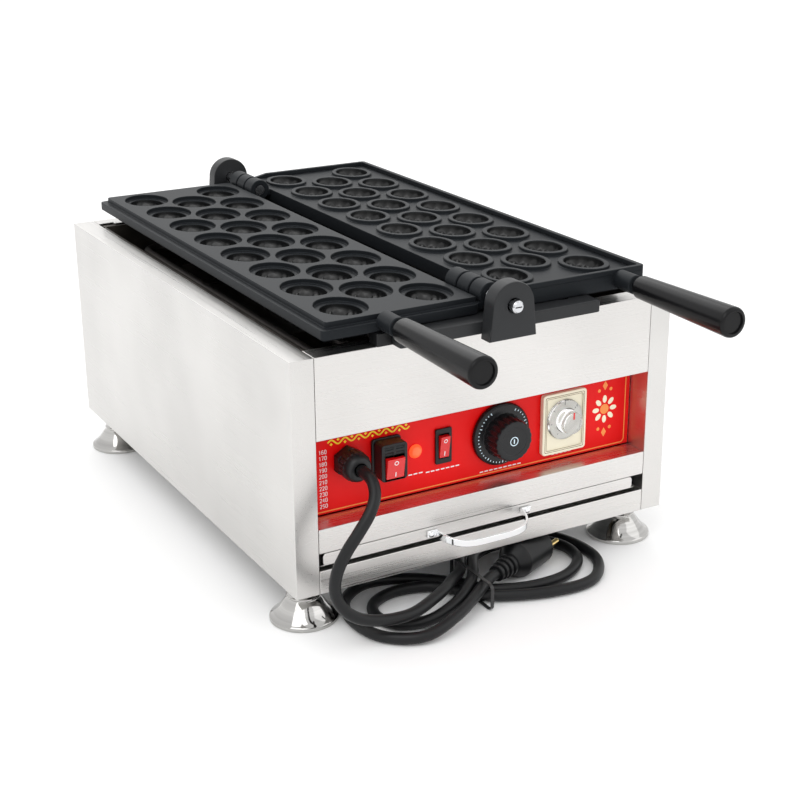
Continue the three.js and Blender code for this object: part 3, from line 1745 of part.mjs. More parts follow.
addPiece("front_hinge_bracket", hingeBracket(), "darkSteel");
addPiece("rear_hinge_bracket", hingeBracket(), "darkSteel").rotation.z = Math.PI;
addPiece("front_hinge_pin", hingePin(), "polished");
addPiece("rear_hinge_pin", hingePin(), "polished").rotation.z = Math.PI;
addPiece("bracket_bolt_front_left", bracketBolt(-boltX), "polished");
addPiece("bracket_bolt_front_right", bracketBolt(boltX), "polished");
addPiece("bracket_bolt_rear_left", bracketBolt(boltX), "polished").rotation.z = Math.PI;
addPiece("bracket_bolt_rear_right", bracketBolt(-boltX), "polished").rotation.z = Math.PI;

const left = addPiece("left_plate", leftPlate(), "coatedAluminium");
left.scale.x = -1;
left.position.z = hingeZ;
addPiece("right_plate", rightPlate(), "coatedAluminium").position.z = hingeZ;
knuckleSpans(0).forEach(([y0, y1], i) => {
  const solid = knuckle(y0, y1, -plateFace - borderDrop);
  const piece = addPiece(`left_knuckle_${i + 1}`, solid, "coatedAluminium");
  piece.scale.x = -1;
  piece.position.z = hingeZ;
});
knuckleSpans(1).forEach(([y0, y1], i) => {
  const solid = knuckle(y0, y1, -plateFace);
  addPiece(`right_knuckle_${i + 1}`, solid, "coatedAluminium").position.z = hingeZ;
});
addPiece("left_handle_rod", handleRod(-leftHandleX), "polished");
addPiece("right_handle_rod", handleRod(rightHandleX), "polished");
addPiece("left_handle_grip", handleGrip(-leftHandleX), "bakelite");
addPiece("right_handle_grip", handleGrip(rightHandleX), "bakelite");

for (const [end, y] of [["front", -footY], ["rear", footY]]) {
  for (const [side, x] of [["left", -footX], ["right", footX]]) {
    addPiece(`foot_${end}_${side}`, foot(x, y), "polished");
  }
}

addPiece("cable_gland", cableGland(), "blackPlastic");
addPiece("gland_dome_nut", glandDomeNut(), "blackPlastic");
addPiece("power_switch_body", powerSwitchBody(), "blackPlastic");
addPiece(
  "power_rocker",
  rocker(powerX, powerPivotZ, powerRockerWidth, powerRockerHeight, powerRockerFront),
  "red",
);
addPiece("pilot_lamp", pilotLamp(), "orange");
addPiece("alarm_switch_body", alarmSwitchBody(), "blackPlastic");
addPiece(
  "alarm_rocker",
  rocker(alarmX, floorZ + alarmZ, alarmRockerWidth, alarmRockerHeight, alarmRockerFront),
  "red",
);
addPiece("thermostat_body", thermostatBody(), "zinc");
addPiece("thermostat_dial", thermostatDial(), "bakelite");
addPiece("thermostat_bulb", capillary(), "copper");
addPiece("timer_housing", timerHousing(), "cream");
addPiece("timer_knob", timerKnob(), "clear");
addPiece("terminal_block", terminalBlock(), "cream");
addPiece("buzzer", buzzer(), "blackPlastic");

addPiece("cord_lead", cordLead(), "rubber");
addPiece("cord_hank", cordHank(), "rubber");
addPiece("cord_tie", cordTie(), "blackPlastic");
addPiece("plug", plugBody(), "rubber");
addPiece("plug_pin_a", plugPinRod(-1, plugPinRadius, 0, 0), "brass");
addPiece("plug_pin_b", plugPinRod(1, plugPinRadius, 0, 0), "brass");

machine.position.y = (gripEnd - pinEnd) / 2;
const part = new THREE.Group();
part.add(machine);

export default part;
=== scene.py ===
# Looks for the walnut waffle maker. Metres inside Blender; sizes below are millimetres in the
# cabinet's own frame, which mm() and the mesh builders turn into the row's frame.

from math import atan2, copysign, cos, dist, exp, pi, radians, sin, sqrt

import bmesh
import bpy
import numpy as np
from mathutils import Matrix, Vector
from mathutils.geometry import tessellate_polygon


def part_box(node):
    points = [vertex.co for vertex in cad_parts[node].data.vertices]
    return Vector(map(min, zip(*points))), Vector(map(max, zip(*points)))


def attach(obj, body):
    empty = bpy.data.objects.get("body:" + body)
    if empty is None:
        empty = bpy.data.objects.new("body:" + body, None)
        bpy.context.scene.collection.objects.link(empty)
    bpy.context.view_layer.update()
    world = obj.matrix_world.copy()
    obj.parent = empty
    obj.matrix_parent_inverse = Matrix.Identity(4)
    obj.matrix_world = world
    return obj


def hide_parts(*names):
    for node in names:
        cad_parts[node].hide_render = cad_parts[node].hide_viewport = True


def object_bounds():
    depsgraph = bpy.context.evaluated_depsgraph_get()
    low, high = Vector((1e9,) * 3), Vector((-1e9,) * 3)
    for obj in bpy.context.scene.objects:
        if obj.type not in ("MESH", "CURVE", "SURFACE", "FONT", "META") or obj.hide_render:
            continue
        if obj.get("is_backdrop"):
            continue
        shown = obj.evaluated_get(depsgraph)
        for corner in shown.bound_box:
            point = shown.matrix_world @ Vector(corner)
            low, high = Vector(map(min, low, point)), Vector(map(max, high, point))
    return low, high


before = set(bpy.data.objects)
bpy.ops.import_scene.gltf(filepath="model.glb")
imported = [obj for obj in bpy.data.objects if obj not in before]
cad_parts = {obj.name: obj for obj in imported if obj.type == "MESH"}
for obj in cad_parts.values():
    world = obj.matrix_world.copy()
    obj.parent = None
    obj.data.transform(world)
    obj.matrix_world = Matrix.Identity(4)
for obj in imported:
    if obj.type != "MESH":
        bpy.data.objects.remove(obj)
cad_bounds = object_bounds()

MILLI = 0.001
TURN = 2 * pi
NEAR_ZERO = 0.01  # radius of a turned shape's end on its axis

# Cabinet, as in the part's source
FLOOR_Z = 33.4
BODY_DEPTH = 484
BODY_HEIGHT = 192.6
TOP_Z = FLOOR_Z + BODY_HEIGHT
HALF_D = BODY_DEPTH / 2
HINGE_Z = FLOOR_Z + 216.1
GAP = 0.3
GRIP_END = 378
PIN_END = 277
SHIFT_Y = (GRIP_END - PIN_END) / 2

# Camera, fitted to the photograph
CAMERA_PLACE = (-620.6, -1194.05, 588.9)
CAMERA_YAW = 29.445
CAMERA_PITCH = 20.503
CAMERA_ROLL = -0.403
CAMERA_LENS = 69.2
CAMERA_SENSOR = 36


def mm(x, y, z):
    """A point of the cabinet's frame in millimetres, as a point of the row's frame in metres."""
    return Vector((x, y + SHIFT_Y, z)) * MILLI


def linked(name, data):
    """A new object in the scene."""
    made = bpy.data.objects.new(name, data)
    bpy.context.scene.collection.objects.link(made)
    return made


camera = linked("camera", bpy.data.cameras.new("camera"))
camera.data.sensor_width = CAMERA_SENSOR
camera.data.lens = CAMERA_LENS
camera.matrix_world = (
    Matrix.Translation(mm(*CAMERA_PLACE))
    @ Matrix.Rotation(radians(-CAMERA_YAW), 4, "Z")
    @ Matrix.Rotation(radians(90 - CAMERA_PITCH), 4, "X")
    @ Matrix.Rotation(radians(CAMERA_ROLL), 4, "Z")
)
bpy.context.scene.camera = camera


# Materials
FINE = 1400  # streaks across the brushing
LONG = 6  # streaks along it
CLOUDS = 7
# Slot, colour, roughness, metal and specular level of each finish
FINISHES = {
    # The side panels' steel is a touch darker than the front's: painted shade on the sides
    "steel_side_painted_shade": ("brushed_stainless", (0.74, 0.727, 0.708), 0.4, 1),
    "steel_front": ("brushed_stainless", (0.765, 0.748, 0.728), 0.4, 1),
    # The chamber's galvanised steel, far darker than the zinc: painted shade under the plates
    "chamber_steel_painted_shade": ("galvanised_steel", (0.13, 0.115, 0.1), 0.45, 0.9),
    "zinc": ("galvanised_steel", (0.52, 0.53, 0.54), 0.5, 0.9),
    "chrome": ("polished_steel", (0.87, 0.88, 0.89), 0.06, 1),
    # The feet's chrome, darker than the other chrome: painted dark reflections
    "foot_chrome_painted_reflections": ("polished_steel", (0.72, 0.71, 0.69), 0.1, 1),
    "pin_steel": ("polished_steel", (0.62, 0.63, 0.65), 0.22, 1),
    "heater_steel": ("heater_steel", (0.1, 0.09, 0.085), 0.5, 0.8),
    "copper": ("copper_tube", (0.72, 0.36, 0.2), 0.3, 1),
    "brass": ("brass_pins", (0.83, 0.62, 0.26), 0.2, 1),
    "coating": ("coated_aluminium", (0.0105, 0.012, 0.014), 0.44, 0, 0.14),
    # The bowls' copy of the coating, darker than the field: painted shade in the deep moulds
    "bowl_painted_shade": ("coated_aluminium", (0.0045, 0.0048, 0.0052), 0.28, 0, 0.4),
    "bracket_paint": ("dark_painted_steel", (0.019, 0.02, 0.0215), 0.4, 0, 0.28),
    "bakelite": ("black_bakelite", (0.005, 0.005, 0.0055), 0.25, 0, 0.2),
    "dial_black": ("black_bakelite", (0.007, 0.0073, 0.0085), 0.26, 0, 0.35),
    "black": ("black_plastic", (0.009, 0.0093, 0.01), 0.4, 0, 0.35),
    "rubber": ("black_rubber", (0.006, 0.0063, 0.007), 0.4, 0, 0.3),
    "tie_black": ("tie_wire", (0.02, 0.02, 0.021), 0.35),
    "red_film": ("red_print", (0.8, 0.0, 0.0), 0.42, 0, 0.25),
    "red_key": ("red_plastic", (0.7, 0.006, 0.008), 0.2),
    "lamp_lens": ("orange_lens", (1, 0.12, 0.03), 0.12),
    "cream": ("cream_plastic", (0.9, 0.84, 0.66), 0.38),
    "dial_white": ("cream_plastic", (0.95, 0.94, 0.9), 0.4),
    "clear": ("clear_plastic", (0.98, 0.98, 0.97), 0.04),
    "yellow_ink": ("red_print", (0.95, 0.68, 0.02), 0.5),
    "cream_ink": ("cream_plastic", (0.95, 0.88, 0.66), 0.5),
    "white_ink": ("cream_plastic", (0.85, 0.87, 0.88), 0.5),
    "blue_ink": ("cream_plastic", (0.68, 0.84, 0.93), 0.5),
    "orange_ink": ("red_print", (0.95, 0.3, 0.06), 0.45),
    "brown_ink": ("cream_plastic", (0.16, 0.1, 0.04), 0.5),
    # Dark ink for printed scales, and painted shade in the hinge pins' slots
    "dark_ink_and_slot_shade": ("black_plastic", (0.02, 0.02, 0.022), 0.5),
}


def set_inputs(node, values):
    """Sets a node's inputs by name, where _ stands for a space."""
    for key, value in values.items():
        node.inputs[key.replace("_", " ")].default_value = value
    return node


def shader_of(made):
    return made.node_tree.nodes["Principled BSDF"]


def add_node(made, kind, **values):
    return set_inputs(made.node_tree.nodes.new("ShaderNode" + kind), values)


def link(made, source, output, target, entry):
    made.node_tree.links.new(source.outputs[output], target.inputs[entry])


def material(name, colour, rough, metal=0.0, specular=0.5):
    made = bpy.data.materials.new(name)
    made.use_nodes = True
    values = {"Base Color": (*colour, 1), "Roughness": rough, "Metallic": metal}
    set_inputs(shader_of(made), {**values, "Specular IOR Level": specular})
    return made


def grain(made, scale, detail, bump, depth, stretch=None):
    """Raises a material's surface by noise, drawn out along the axes with a small stretch."""
    place = add_node(made, "TexCoord")
    start, output = place, "Object"
    if stretch:
        start, output = add_node(made, "Mapping", Scale=stretch), "Vector"
        link(made, place, "Object", start, "Vector")
    noise = add_node(made, "TexNoise", Scale=scale, Detail=detail)
    raised = add_node(made, "Bump", Strength=bump, Distance=depth * MILLI)
    link(made, start, output, noise, "Vector")
    link(made, noise, "Fac", raised, "Height")
    link(made, raised, "Normal", shader_of(made), "Normal")
    return place, noise


def streaks(made, stretch, low, high, bump, darker, cloud=1.0):
    """Streaks a material's gloss and tone (painted reflection bands on the feet), smudged softly where
    cloud is below 1.
    """
    place, noise = grain(made, 1, 3, bump, 0.1, stretch)
    shader = shader_of(made)
    gloss = add_node(made, "MapRange", From_Min=0.3, From_Max=0.7, To_Min=low, To_Max=high)
    link(made, noise, "Fac", gloss, "Value")
    link(made, gloss, "Result", shader, "Roughness")
    base = shader.inputs["Base Color"].default_value[:]
    dark = [c * darker for c in base[:3]] + [1]
    tone = add_node(made, "MixRGB", Color1=dark, Color2=base)
    link(made, noise, "Fac", tone, "Fac")
    if cloud < 1:
        smudge = add_node(made, "TexNoise", Scale=CLOUDS, Detail=2)
        patch = add_node(made, "MapRange", From_Min=0.35, From_Max=0.62, To_Min=cloud, To_Max=1)
        shade = add_node(made, "MixRGB", Fac=1)
        shade.blend_type = "MULTIPLY"
        link(made, place, "Object", smudge, "Vector")
        link(made, smudge, "Fac", patch, "Value")
        link(made, tone, "Color", shade, "Color1")
        link(made, patch, "Result", shade, "Color2")
        tone = shade
    link(made, tone, "Color", shader, "Base Color")


looks = {name: material(name, *look) for name, (_, *look) in FINISHES.items()}
for name, extra in (
    ("coating", {"Specular Tint": (0.88, 0.95, 1, 1)}),
    ("red_key", {"Coat Weight": 0.5}),
    ("lamp_lens", {"Emission Color": (1, 0.13, 0.04, 1), "Emission Strength": 0.5}),
    ("clear", {"Transmission Weight": 1, "IOR": 1.45}),
):
    set_inputs(shader_of(looks[name]), extra)
# Scale, strength and depth of the fine grain of coatings and castings
for name, scale, bump, depth in (
    ("zinc", 300, 0.2, 0.1), ("coating", 900, 0.18, 0.15), ("bowl_painted_shade", 900, 0.15, 0.12),
    ("bracket_paint", 700, 0.15, 0.15), ("black", 900, 0.08, 0.1), ("rubber", 700, 0.08, 0.1),
):
    grain(looks[name], scale, 2, bump, depth)
streaks(looks["steel_side_painted_shade"], (FINE, LONG, FINE), 0.26, 0.4, 0.16, 0.84, 0.89)
streaks(looks["steel_front"], (LONG, FINE, FINE), 0.24, 0.38, 0.16, 0.84, 0.9)
streaks(looks["chamber_steel_painted_shade"], (60, 60, 60), 0.38, 0.55, 0.05, 0.5)
# Bands by height on the feet's chrome, down to 0.3 of its colour: painted reflections
streaks(looks["foot_chrome_painted_reflections"], (3, 3, 170), 0.05, 0.14, 0.03, 0.3)


# Mesh building
EDGE_ANGLE = 25  # a CAD edge at least this sharp is rounded
SMOOTH_ANGLE = 35  # faces that meet at less are shaded as one


class Shape:
    """Points in the cabinet's millimetres and faces, gathered into one mesh."""

    def __init__(self):
        self.points = []
        self.faces = []
        self.inside = []  # faces that take a piece's second finish; in the plates, the bowls, darker as painted shade

    def add(self, points, faces):
        start = len(self.points)
        self.points.extend(tuple(p) for p in points)
        self.faces.extend([tuple(i + start for i in face) for face in faces])
        return self

    def join(self, other):
        return self.add(other.points, other.faces)

    def loops(self, loops, caps=(True, True), ring=False):
        """A skin over loops of equally many points. ring joins the last loop to the first."""
        count = len(loops[0])
        rows = len(loops)
        faces = []
        for i in range(rows if ring else rows - 1):
            a = i * count
            b = ((i + 1) % rows) * count
            for j in range(count):
                k = (j + 1) % count
                faces.append((a + j, a + k, b + k, b + j))
        if caps[0] and not ring:
            faces.append(tuple(reversed(range(count))))
        if caps[1] and not ring:
            faces.append(tuple(range((rows - 1) * count, rows * count)))
        return self.add([p for loop in loops for p in loop], faces)

    def pierced(self, outer, holes):
        """A flat face inside a loop and round the holes."""
        flat = [[Vector(p) for p in loop] for loop in (outer, *holes)]
        points = [p for loop in flat for p in loop]
        return self.add(points, [tuple(t) for t in tessellate_polygon(flat)])

    def mirrored_x(self):
        self.points = [(-x, y, z) for x, y, z in self.points]
        self.faces = [tuple(reversed(face)) for face in self.faces]
        return self

    def half_turned(self):
        self.points = [(-x, -y, z) for x, y, z in self.points]
        return self

    def lifted(self, height):
        self.points = [(x, y, z + height) for x, y, z in self.points]
        return self


def circle(radius, sides):
    angles = [TURN * i / sides for i in range(sides)]
    return [(radius * cos(angle), radius * sin(angle)) for angle in angles]


def quarter(steps):
    """Sines and cosines through a right angle."""
    angles = [pi / 2 * k / steps for k in range(steps + 1)]
    return [(sin(angle), cos(angle)) for angle in angles]


def turned(profile, centre, axis="y", sides=48, caps=(True, True), ring=False, at=0.0):
    """A profile of (radius, distance from at) turned about an axis through centre.

    centre is (x, z) or, for the axis "z", (x, y).
    """
    loops = []
    for radius, along in profile:
        loop = [(centre[0] + a, centre[1] + b) for a, b in circle(max(radius, 1e-4), sides)]
        loops.append([(u, at + along, v) if axis == "y" else (u, v, at + along) for u, v in loop])
    return Shape().loops(loops, caps, ring)


def wheel(centre, y, radii):
    """A loop round an axis along Y, from the distance of each of its points."""
    loop = []
    for i, radius in enumerate(radii):
        angle = TURN * i / len(radii)
        loop.append((centre[0] + radius * cos(angle), y, centre[1] + radius * sin(angle)))
    return loop


def prism(outline, low, high, chamfer):
    """An outline of (x, z) points between two places along Y, its ends chamfered."""
    mid_x = sum(x for x, z in outline) / len(outline)
    mid_z = sum(z for x, z in outline) / len(outline)
    span = max(dist((mid_x, mid_z), p) for p in outline)
    loops = []
    for y, inset in ((low, chamfer), (low + chamfer, 0), (high - chamfer, 0), (high, chamfer)):
        share = 1 - inset / span
        loops.append(
            [(mid_x + (x - mid_x) * share, y, mid_z + (z - mid_z) * share) for x, z in outline]
        )
    return Shape().loops(loops)


def rounded_box(x0, x1, z0, z1, radius, steps=5):
    """The outline of a rectangle with round corners, as (x, z) points."""
    points = []
    corners = ((x1, z0, -90), (x1, z1, 0), (x0, z1, 90), (x0, z0, 180))
    for x, z, start in corners:
        cx = x - radius if x == x1 else x + radius
        cz = z + radius if z == z0 else z - radius
        for i in range(steps + 1):
            angle = radians(start + 90 * i / steps)
            points.append((cx + radius * cos(angle), cz + radius * sin(angle)))
    return points


def shade(mesh, smooth):
    mesh.shade_smooth()
    mesh.set_sharp_from_angle(angle=radians(smooth))


def place(name, mesh, body, slot, replaced):
    """Puts a mesh into the scene as a piece that rides on a body and stands for CAD nodes."""
    made = linked(name, mesh)
    even = made.modifiers.new("even_normals", "WEIGHTED_NORMAL")
    even.keep_sharp = True
    even.weight = 100
    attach(made, body)
    if replaced:
        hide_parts(*replaced)
    return made


def piece(
    name, shape, finish, body="cabinet", replaced=(), smooth=SMOOTH_ANGLE, second=None, slot=None
):
    """A new piece from a shape. second is the finish of the shape's inside. The slot, from the
    finish unless another one is named, is handed to place, which does not use it.
    """
    mesh = bpy.data.meshes.new(name)
    mesh.from_pydata([mm(*p) for p in shape.points], [], shape.faces)
    mesh.materials.append(looks[finish])
    if second:
        mesh.materials.append(looks[second])
        for index in shape.inside:
            mesh.polygons[index].material_index = 1
    work = bmesh.new()
    work.from_mesh(mesh)
    bmesh.ops.remove_doubles(work, verts=work.verts, dist=MILLI / 1000)
    bmesh.ops.recalc_face_normals(work, faces=work.faces)
    work.to_mesh(mesh)
    work.free()
    shade(mesh, smooth)
    return place(name, mesh, body, slot or FINISHES[finish][0], replaced)


def softened(node, width, finish, body="cabinet", segments=2):
    """A copy of a CAD solid with its edges rounded, shown instead of it."""
    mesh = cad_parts[node].data.copy()
    mesh.name = node + "_soft"
    work = bmesh.new()
    work.from_mesh(mesh)
    bmesh.ops.remove_doubles(work, verts=work.verts, dist=MILLI / 100)
    bmesh.ops.dissolve_limit(
        work, angle_limit=radians(1), verts=work.verts, edges=work.edges
    )
    edges = [
        edge
        for edge in work.edges
        if len(edge.link_faces) == 2 and edge.calc_face_angle() > radians(EDGE_ANGLE)
    ]
    bmesh.ops.bevel(
        work, geom=edges, offset=width * MILLI, segments=segments, affect="EDGES", profile=0.5,
        clamp_overlap=False,
    )
    work.to_mesh(mesh)
    work.free()
    mesh.materials.clear()
    mesh.materials.append(looks[finish])
    shade(mesh, SMOOTH_ANGLE)
    return place(mesh.name, mesh, body, FINISHES[finish][0], (node,))


# Printed marks
INK_DEPTH = 0.1
RING_SIDES = 40


def flat_mark(points, y, depth=INK_DEPTH):
    """A printed shape of (x, z) points standing just proud of a face at y."""
    return Shape().loops([[(x, y, z) for x, z in points], [(x, y - depth, z) for x, z in points]])


def band(outer, inner, low, high):
    """What lies between two outlines of (x, z) points, from low to high along Y."""
    rows = ((outer, low), (outer, high), (inner, high), (inner, low))
    return Shape().loops([[(x, y, z) for x, z in points] for points, y in rows], ring=True)


def ring_mark(centre, outer, inner, y):
    """A printed ring, or a full disc where inner is nothing."""
    edges = [
        [(centre[0] + a, centre[1] + b) for a, b in circle(radius, RING_SIDES)]
        for radius in (outer, inner)
    ]
    return band(*edges, y, y - INK_DEPTH) if inner else flat_mark(edges[0], y)


def bar_between(a, b, width):
    a, b = Vector(a), Vector(b)
    along = (b - a).normalized()
    aside = Vector((-along.y, along.x)) * width / 2
    return [tuple(a + aside), tuple(a - aside), tuple(b - aside), tuple(b + aside)]


def polar(centre, radius, degrees):
    """A point round a centre, by clock degrees from straight up."""
    angle = radians(degrees)
    return (centre[0] + radius * sin(angle), centre[1] + radius * cos(angle))


def printed(name, marks, ink, body="cabinet"):
    """One piece from many printed marks."""
    sheet = Shape()
    for mark in marks:
        sheet.join(mark)
    return piece(name, sheet, ink, body)


# Mould plates, drawn to the right of the hinge with z = 0 where they meet
PLATE_IN = 11.5
PLATE_OUT = 147
PLATE_HALF = 241
PLATE_LOW = -12.5
PLATE_CORNER = 4
CORE = (16, 137, 222)
CORE_CORNER = 3
CORE_LOW = -20.5
FACE = -0.3
BORDER = 5.6
BORDER_FACE = -4.8
RIM = 4.5
RIM_TOP = 3.9
RIM_RUN_OUT = 20
RIM_SINK = 0.7
KNUCKLE_R = 10
KNUCKLE_LENGTH = 16
KNUCKLE_PITCH = 18.2
KNUCKLE_START = 3
KNUCKLE_WEB = 5.7
PIN_BORE = 5.5
MOULD_X = 37.5
MOULD_PITCH = 58.2
MOULD_COUNTS = (8, 7, 8)
SEAT = (20, 25)
SEAT_DEPTH = 3.5
RING_GAP = 0.7
RING_RISE = 2.8
BOWL = (15.2, 19)
BOWL_DEPTH = 12.5
MOULD_SIDES = 56
BOWL_ROWS = 18
CORNER_STEPS = 4
RIM_STEPS = 8
# Roundings as (inset, distance along the side)
CORE_ROUND = ((1.5, 0), (0.4, 0.4), (0, 1.5))
LOW_ROUND = ((0.9, 0), (0.2, 0.3), (0, 1))
TOP_ROUND = ((0, 0.7), (0.2, 0.2), (0.7, 0))
RIM_ROUND = ((0, RIM_TOP), (0, 0.8), (0.25, 0.2), (0.8, 0))


def knuckle_spans(index):
    spans = []
    for i in range(3):
        near = PLATE_HALF - KNUCKLE_START - i * KNUCKLE_PITCH
        front = (-near, -near + KNUCKLE_LENGTH)
        spans.append(front if i % 2 == index else (near - KNUCKLE_LENGTH, near))
    return spans


def rounded_loop(corners, inset, z):
    """The loop through square corners (x, y, radius), moved inwards by inset, at height z."""
    points = []
    for i, (x, y, radius) in enumerate(corners):
        px, py, _ = corners[i - 1]
        nx, ny, _ = corners[(i + 1) % len(corners)]
        into = Vector((x - px, y - py)).normalized()
        out = Vector((nx - x, ny - y)).normalized()
        corner = Vector((x, y)) + Vector((-into.y - out.y, into.x + out.x)) * inset
        real = max(radius - inset, 0.2)
        centre = corner - into * real + out * real
        for sine, cosine in quarter(CORNER_STEPS):
            spot = centre - out * real * cosine + into * real * sine
            points.append((spot.x, spot.y, z))
    return points


def outline(inner, outer, inner_radius=PLATE_CORNER, outer_radius=PLATE_CORNER):
    """Corners of the plate's outline, moved in by inner at the hinge and by outer elsewhere."""
    x0 = PLATE_IN + inner
    x1 = PLATE_OUT - outer
    half = PLATE_HALF - outer
    return [
        (x1, -half, outer_radius), (x1, half, outer_radius), (x0, half, inner_radius),
        (x0, -half, inner_radius),
    ]


def rim():
    """The rim round three sides, whose ends fall to the field beside the hinge."""
    end = PLATE_HALF - RIM
    far = PLATE_OUT - RIM
    pairs = []
    for sine, cosine in quarter(RIM_STEPS):
        x = PLATE_IN + PLATE_CORNER * (1 - cosine)
        pairs.append(((x, PLATE_HALF - PLATE_CORNER * (1 - sine)), (x, end)))
    pairs.append(((PLATE_IN + RIM_RUN_OUT, PLATE_HALF), (PLATE_IN + RIM_RUN_OUT, end)))
    for sine, cosine in quarter(RIM_STEPS):
        pairs.append((
            (PLATE_OUT - PLATE_CORNER * (1 - sine), PLATE_HALF - PLATE_CORNER * (1 - cosine)),
            (far - 2 + 2 * sine, end - 2 + 2 * cosine),
        ))
    pairs += [((a, -b), (c, -d)) for (a, b), (c, d) in reversed(pairs)]
    loops = []
    for edge, inside in pairs:
        edge = Vector(edge)
        across = Vector(inside) - edge
        top = FACE + (RIM_TOP - FACE) * min((edge.x - PLATE_IN) / RIM_RUN_OUT, 1)
        outer_side, inner_side = [], []
        for inset, drop in RIM_ROUND:
            share = min(inset / across.length, 0.45)
            z = max(top - drop, FACE - RIM_SINK)
            outer_side.append((*(edge + across * share), z))
            inner_side.append((*(edge + across * (1 - share)), z))
        loops.append(outer_side + inner_side[::-1])
    return Shape().loops(loops)


def mould_centres():
    for column, count in enumerate(MOULD_COUNTS):
        for row in range(count):
            yield MOULD_X * (column + 1), (row - (count - 1) / 2) * MOULD_PITCH


def walnut_relief(a, b, share):
    """How far the bowl's floor stands up: a seam along it, and the folds of the shell."""
    swell = max(0, (1 - share**9) * (0.35 + share))
    seam = 3.2 * exp(-((a / 1.1) ** 2)) * (1 - share**6)
    side = copysign(1, a)
    bend = 1.5 * sin(b * 0.33 + side)
    ribs = sin(0.95 * b + 1.6 * sin(0.42 * a + 0.6 * side) + side)
    folds = sin(0.8 * a + bend) * cos(0.38 * b + 0.5 * side)
    away = 1 - exp(-((a / 2.2) ** 2))
    return seam + (1.35 * ribs + 1.0 * folds) * swell * away


def mould(x, y, steps, mouth):
    """Loops down one mould: the steps of its edge, then its bowl."""
    unit = circle(1, MOULD_SIDES)
    loops = [
        [(x + (size[0] + grow) * a, y + (size[1] + grow) * b, z) for a, b in unit]
        for size, grow, z in steps
    ]
    for k in range(1, BOWL_ROWS):
        s = k / BOWL_ROWS
        share = cos(s * pi / 2) ** 0.75
        level = mouth - BOWL_DEPTH * sin(s * pi / 2) ** 0.85
        loop = []
        for a, b in unit:
            dx = BOWL[0] * share * a
            dy = BOWL[1] * share * b
            loop.append((x + dx, y + dy, level + walnut_relief(dx, dy, share)))
        loops.append(loop)
    return loops


def plate(male):
    """One mould plate: its stepped casting and its moulds."""
    inner, outer, half = CORE
    corners = ((outer, -half), (outer, half), (inner, half), (inner, -half))
    core = [(x, y, CORE_CORNER) for x, y in corners]
    rows = [rounded_loop(core, inset, CORE_LOW + lift) for inset, lift in CORE_ROUND]
    rows.append(rounded_loop(core, 0, PLATE_LOW))
    rows += [rounded_loop(outline(inset, inset), 0, PLATE_LOW + lift) for inset, lift in LOW_ROUND]
    if male:
        rows += [rounded_loop(outline(inset, 0), 0, FACE - drop) for inset, drop in TOP_ROUND]
        mouth = FACE + RING_RISE
        ring = (SEAT[0] - RING_GAP, SEAT[1] - RING_GAP)
        steps = [
            (ring, 0.7, FACE), (ring, 0.15, FACE + 0.4), (ring, -0.1, mouth - 0.5),
            (ring, -0.6, mouth),
        ]
    else:
        rows += [
            rounded_loop(outline(0, inset), 0, BORDER_FACE - drop) for inset, drop in TOP_ROUND
        ]
        raised = [
            (0, -0.6, BORDER_FACE), (0, -0.1, BORDER_FACE + 0.5), (0, 0, FACE - 0.7),
            (0.15, 0.15, FACE - 0.15), (0.7, 0.7, FACE),
        ]
        rows += [
            rounded_loop(outline(near, BORDER + inset, 0.5, 3), 0, z) for near, inset, z in raised
        ]
        mouth = FACE - SEAT_DEPTH
        steps = [
            (SEAT, 0.4, FACE), (SEAT, 0, FACE - 0.45), (SEAT, -0.1, mouth + 0.5),
            (SEAT, -0.5, mouth),
        ]
    steps += [(BOWL, 0.6, mouth), (BOWL, 0.1, mouth - 0.5)]
    shape = Shape().loops(rows, (True, False))
    holes = []
    for x, y in mould_centres():
        loops = mould(x, y, steps, mouth)
        # The bowl's faces take the darker copy of the coating, painted shade
        bowl_start = len(shape.faces) + (len(steps) - 1) * MOULD_SIDES
        shape.loops(loops, (False, True))
        shape.inside.extend(range(bowl_start, len(shape.faces)))
        holes.append(loops[0][::-1])
    shape.pierced(rows[-1], holes)
    return shape.join(rim()) if male else shape


def knuckle(y0, y1, web_top):
    """A hinge barrel on its short web."""
    barrel = turned(
        [
            (PIN_BORE, y0), (KNUCKLE_R - 0.6, y0), (KNUCKLE_R, y0 + 0.6), (KNUCKLE_R, y1 - 0.6),
            (KNUCKLE_R - 0.6, y1), (PIN_BORE, y1),
        ],
        (0, 0), ring=True,
    )
    web = rounded_box(PIN_BORE + 1, PLATE_IN - 0.05, web_top - KNUCKLE_WEB, web_top, 0.5, 3)
    return barrel.join(prism(web, y0 + 0.2, y1 - 0.2, 0.3))


LEFT_HANDLE = 95
RIGHT_HANDLE = 122
HANDLE_DROP = 4.5
BOSS_R = 7.8
BOSS_END = 262
BOSS_BORE = 4.4


def with_boss(shape, x, top):
    """Adds a handle's boss. Its root stays below top, so that the other plate shuts on it."""
    root = -PLATE_HALF - GAP
    boss = turned(
        [
            (BOSS_BORE, -BOSS_END + 3), (BOSS_BORE, -BOSS_END), (BOSS_R - 0.7, -BOSS_END),
            (BOSS_R, -BOSS_END + 0.7), (BOSS_R, root - 0.6), (BOSS_R - 0.3, root - 0.1),
            (BOSS_R, root), (BOSS_R, -PLATE_HALF + 0.02), (NEAR_ZERO, -PLATE_HALF + 0.02),
        ],
        (x, -HANDLE_DROP),
    )
    lowered = [(px, py, min(pz, top - 0.1) if py >= root else pz) for px, py, pz in boss.points]
    return shape.add(lowered, boss.faces)


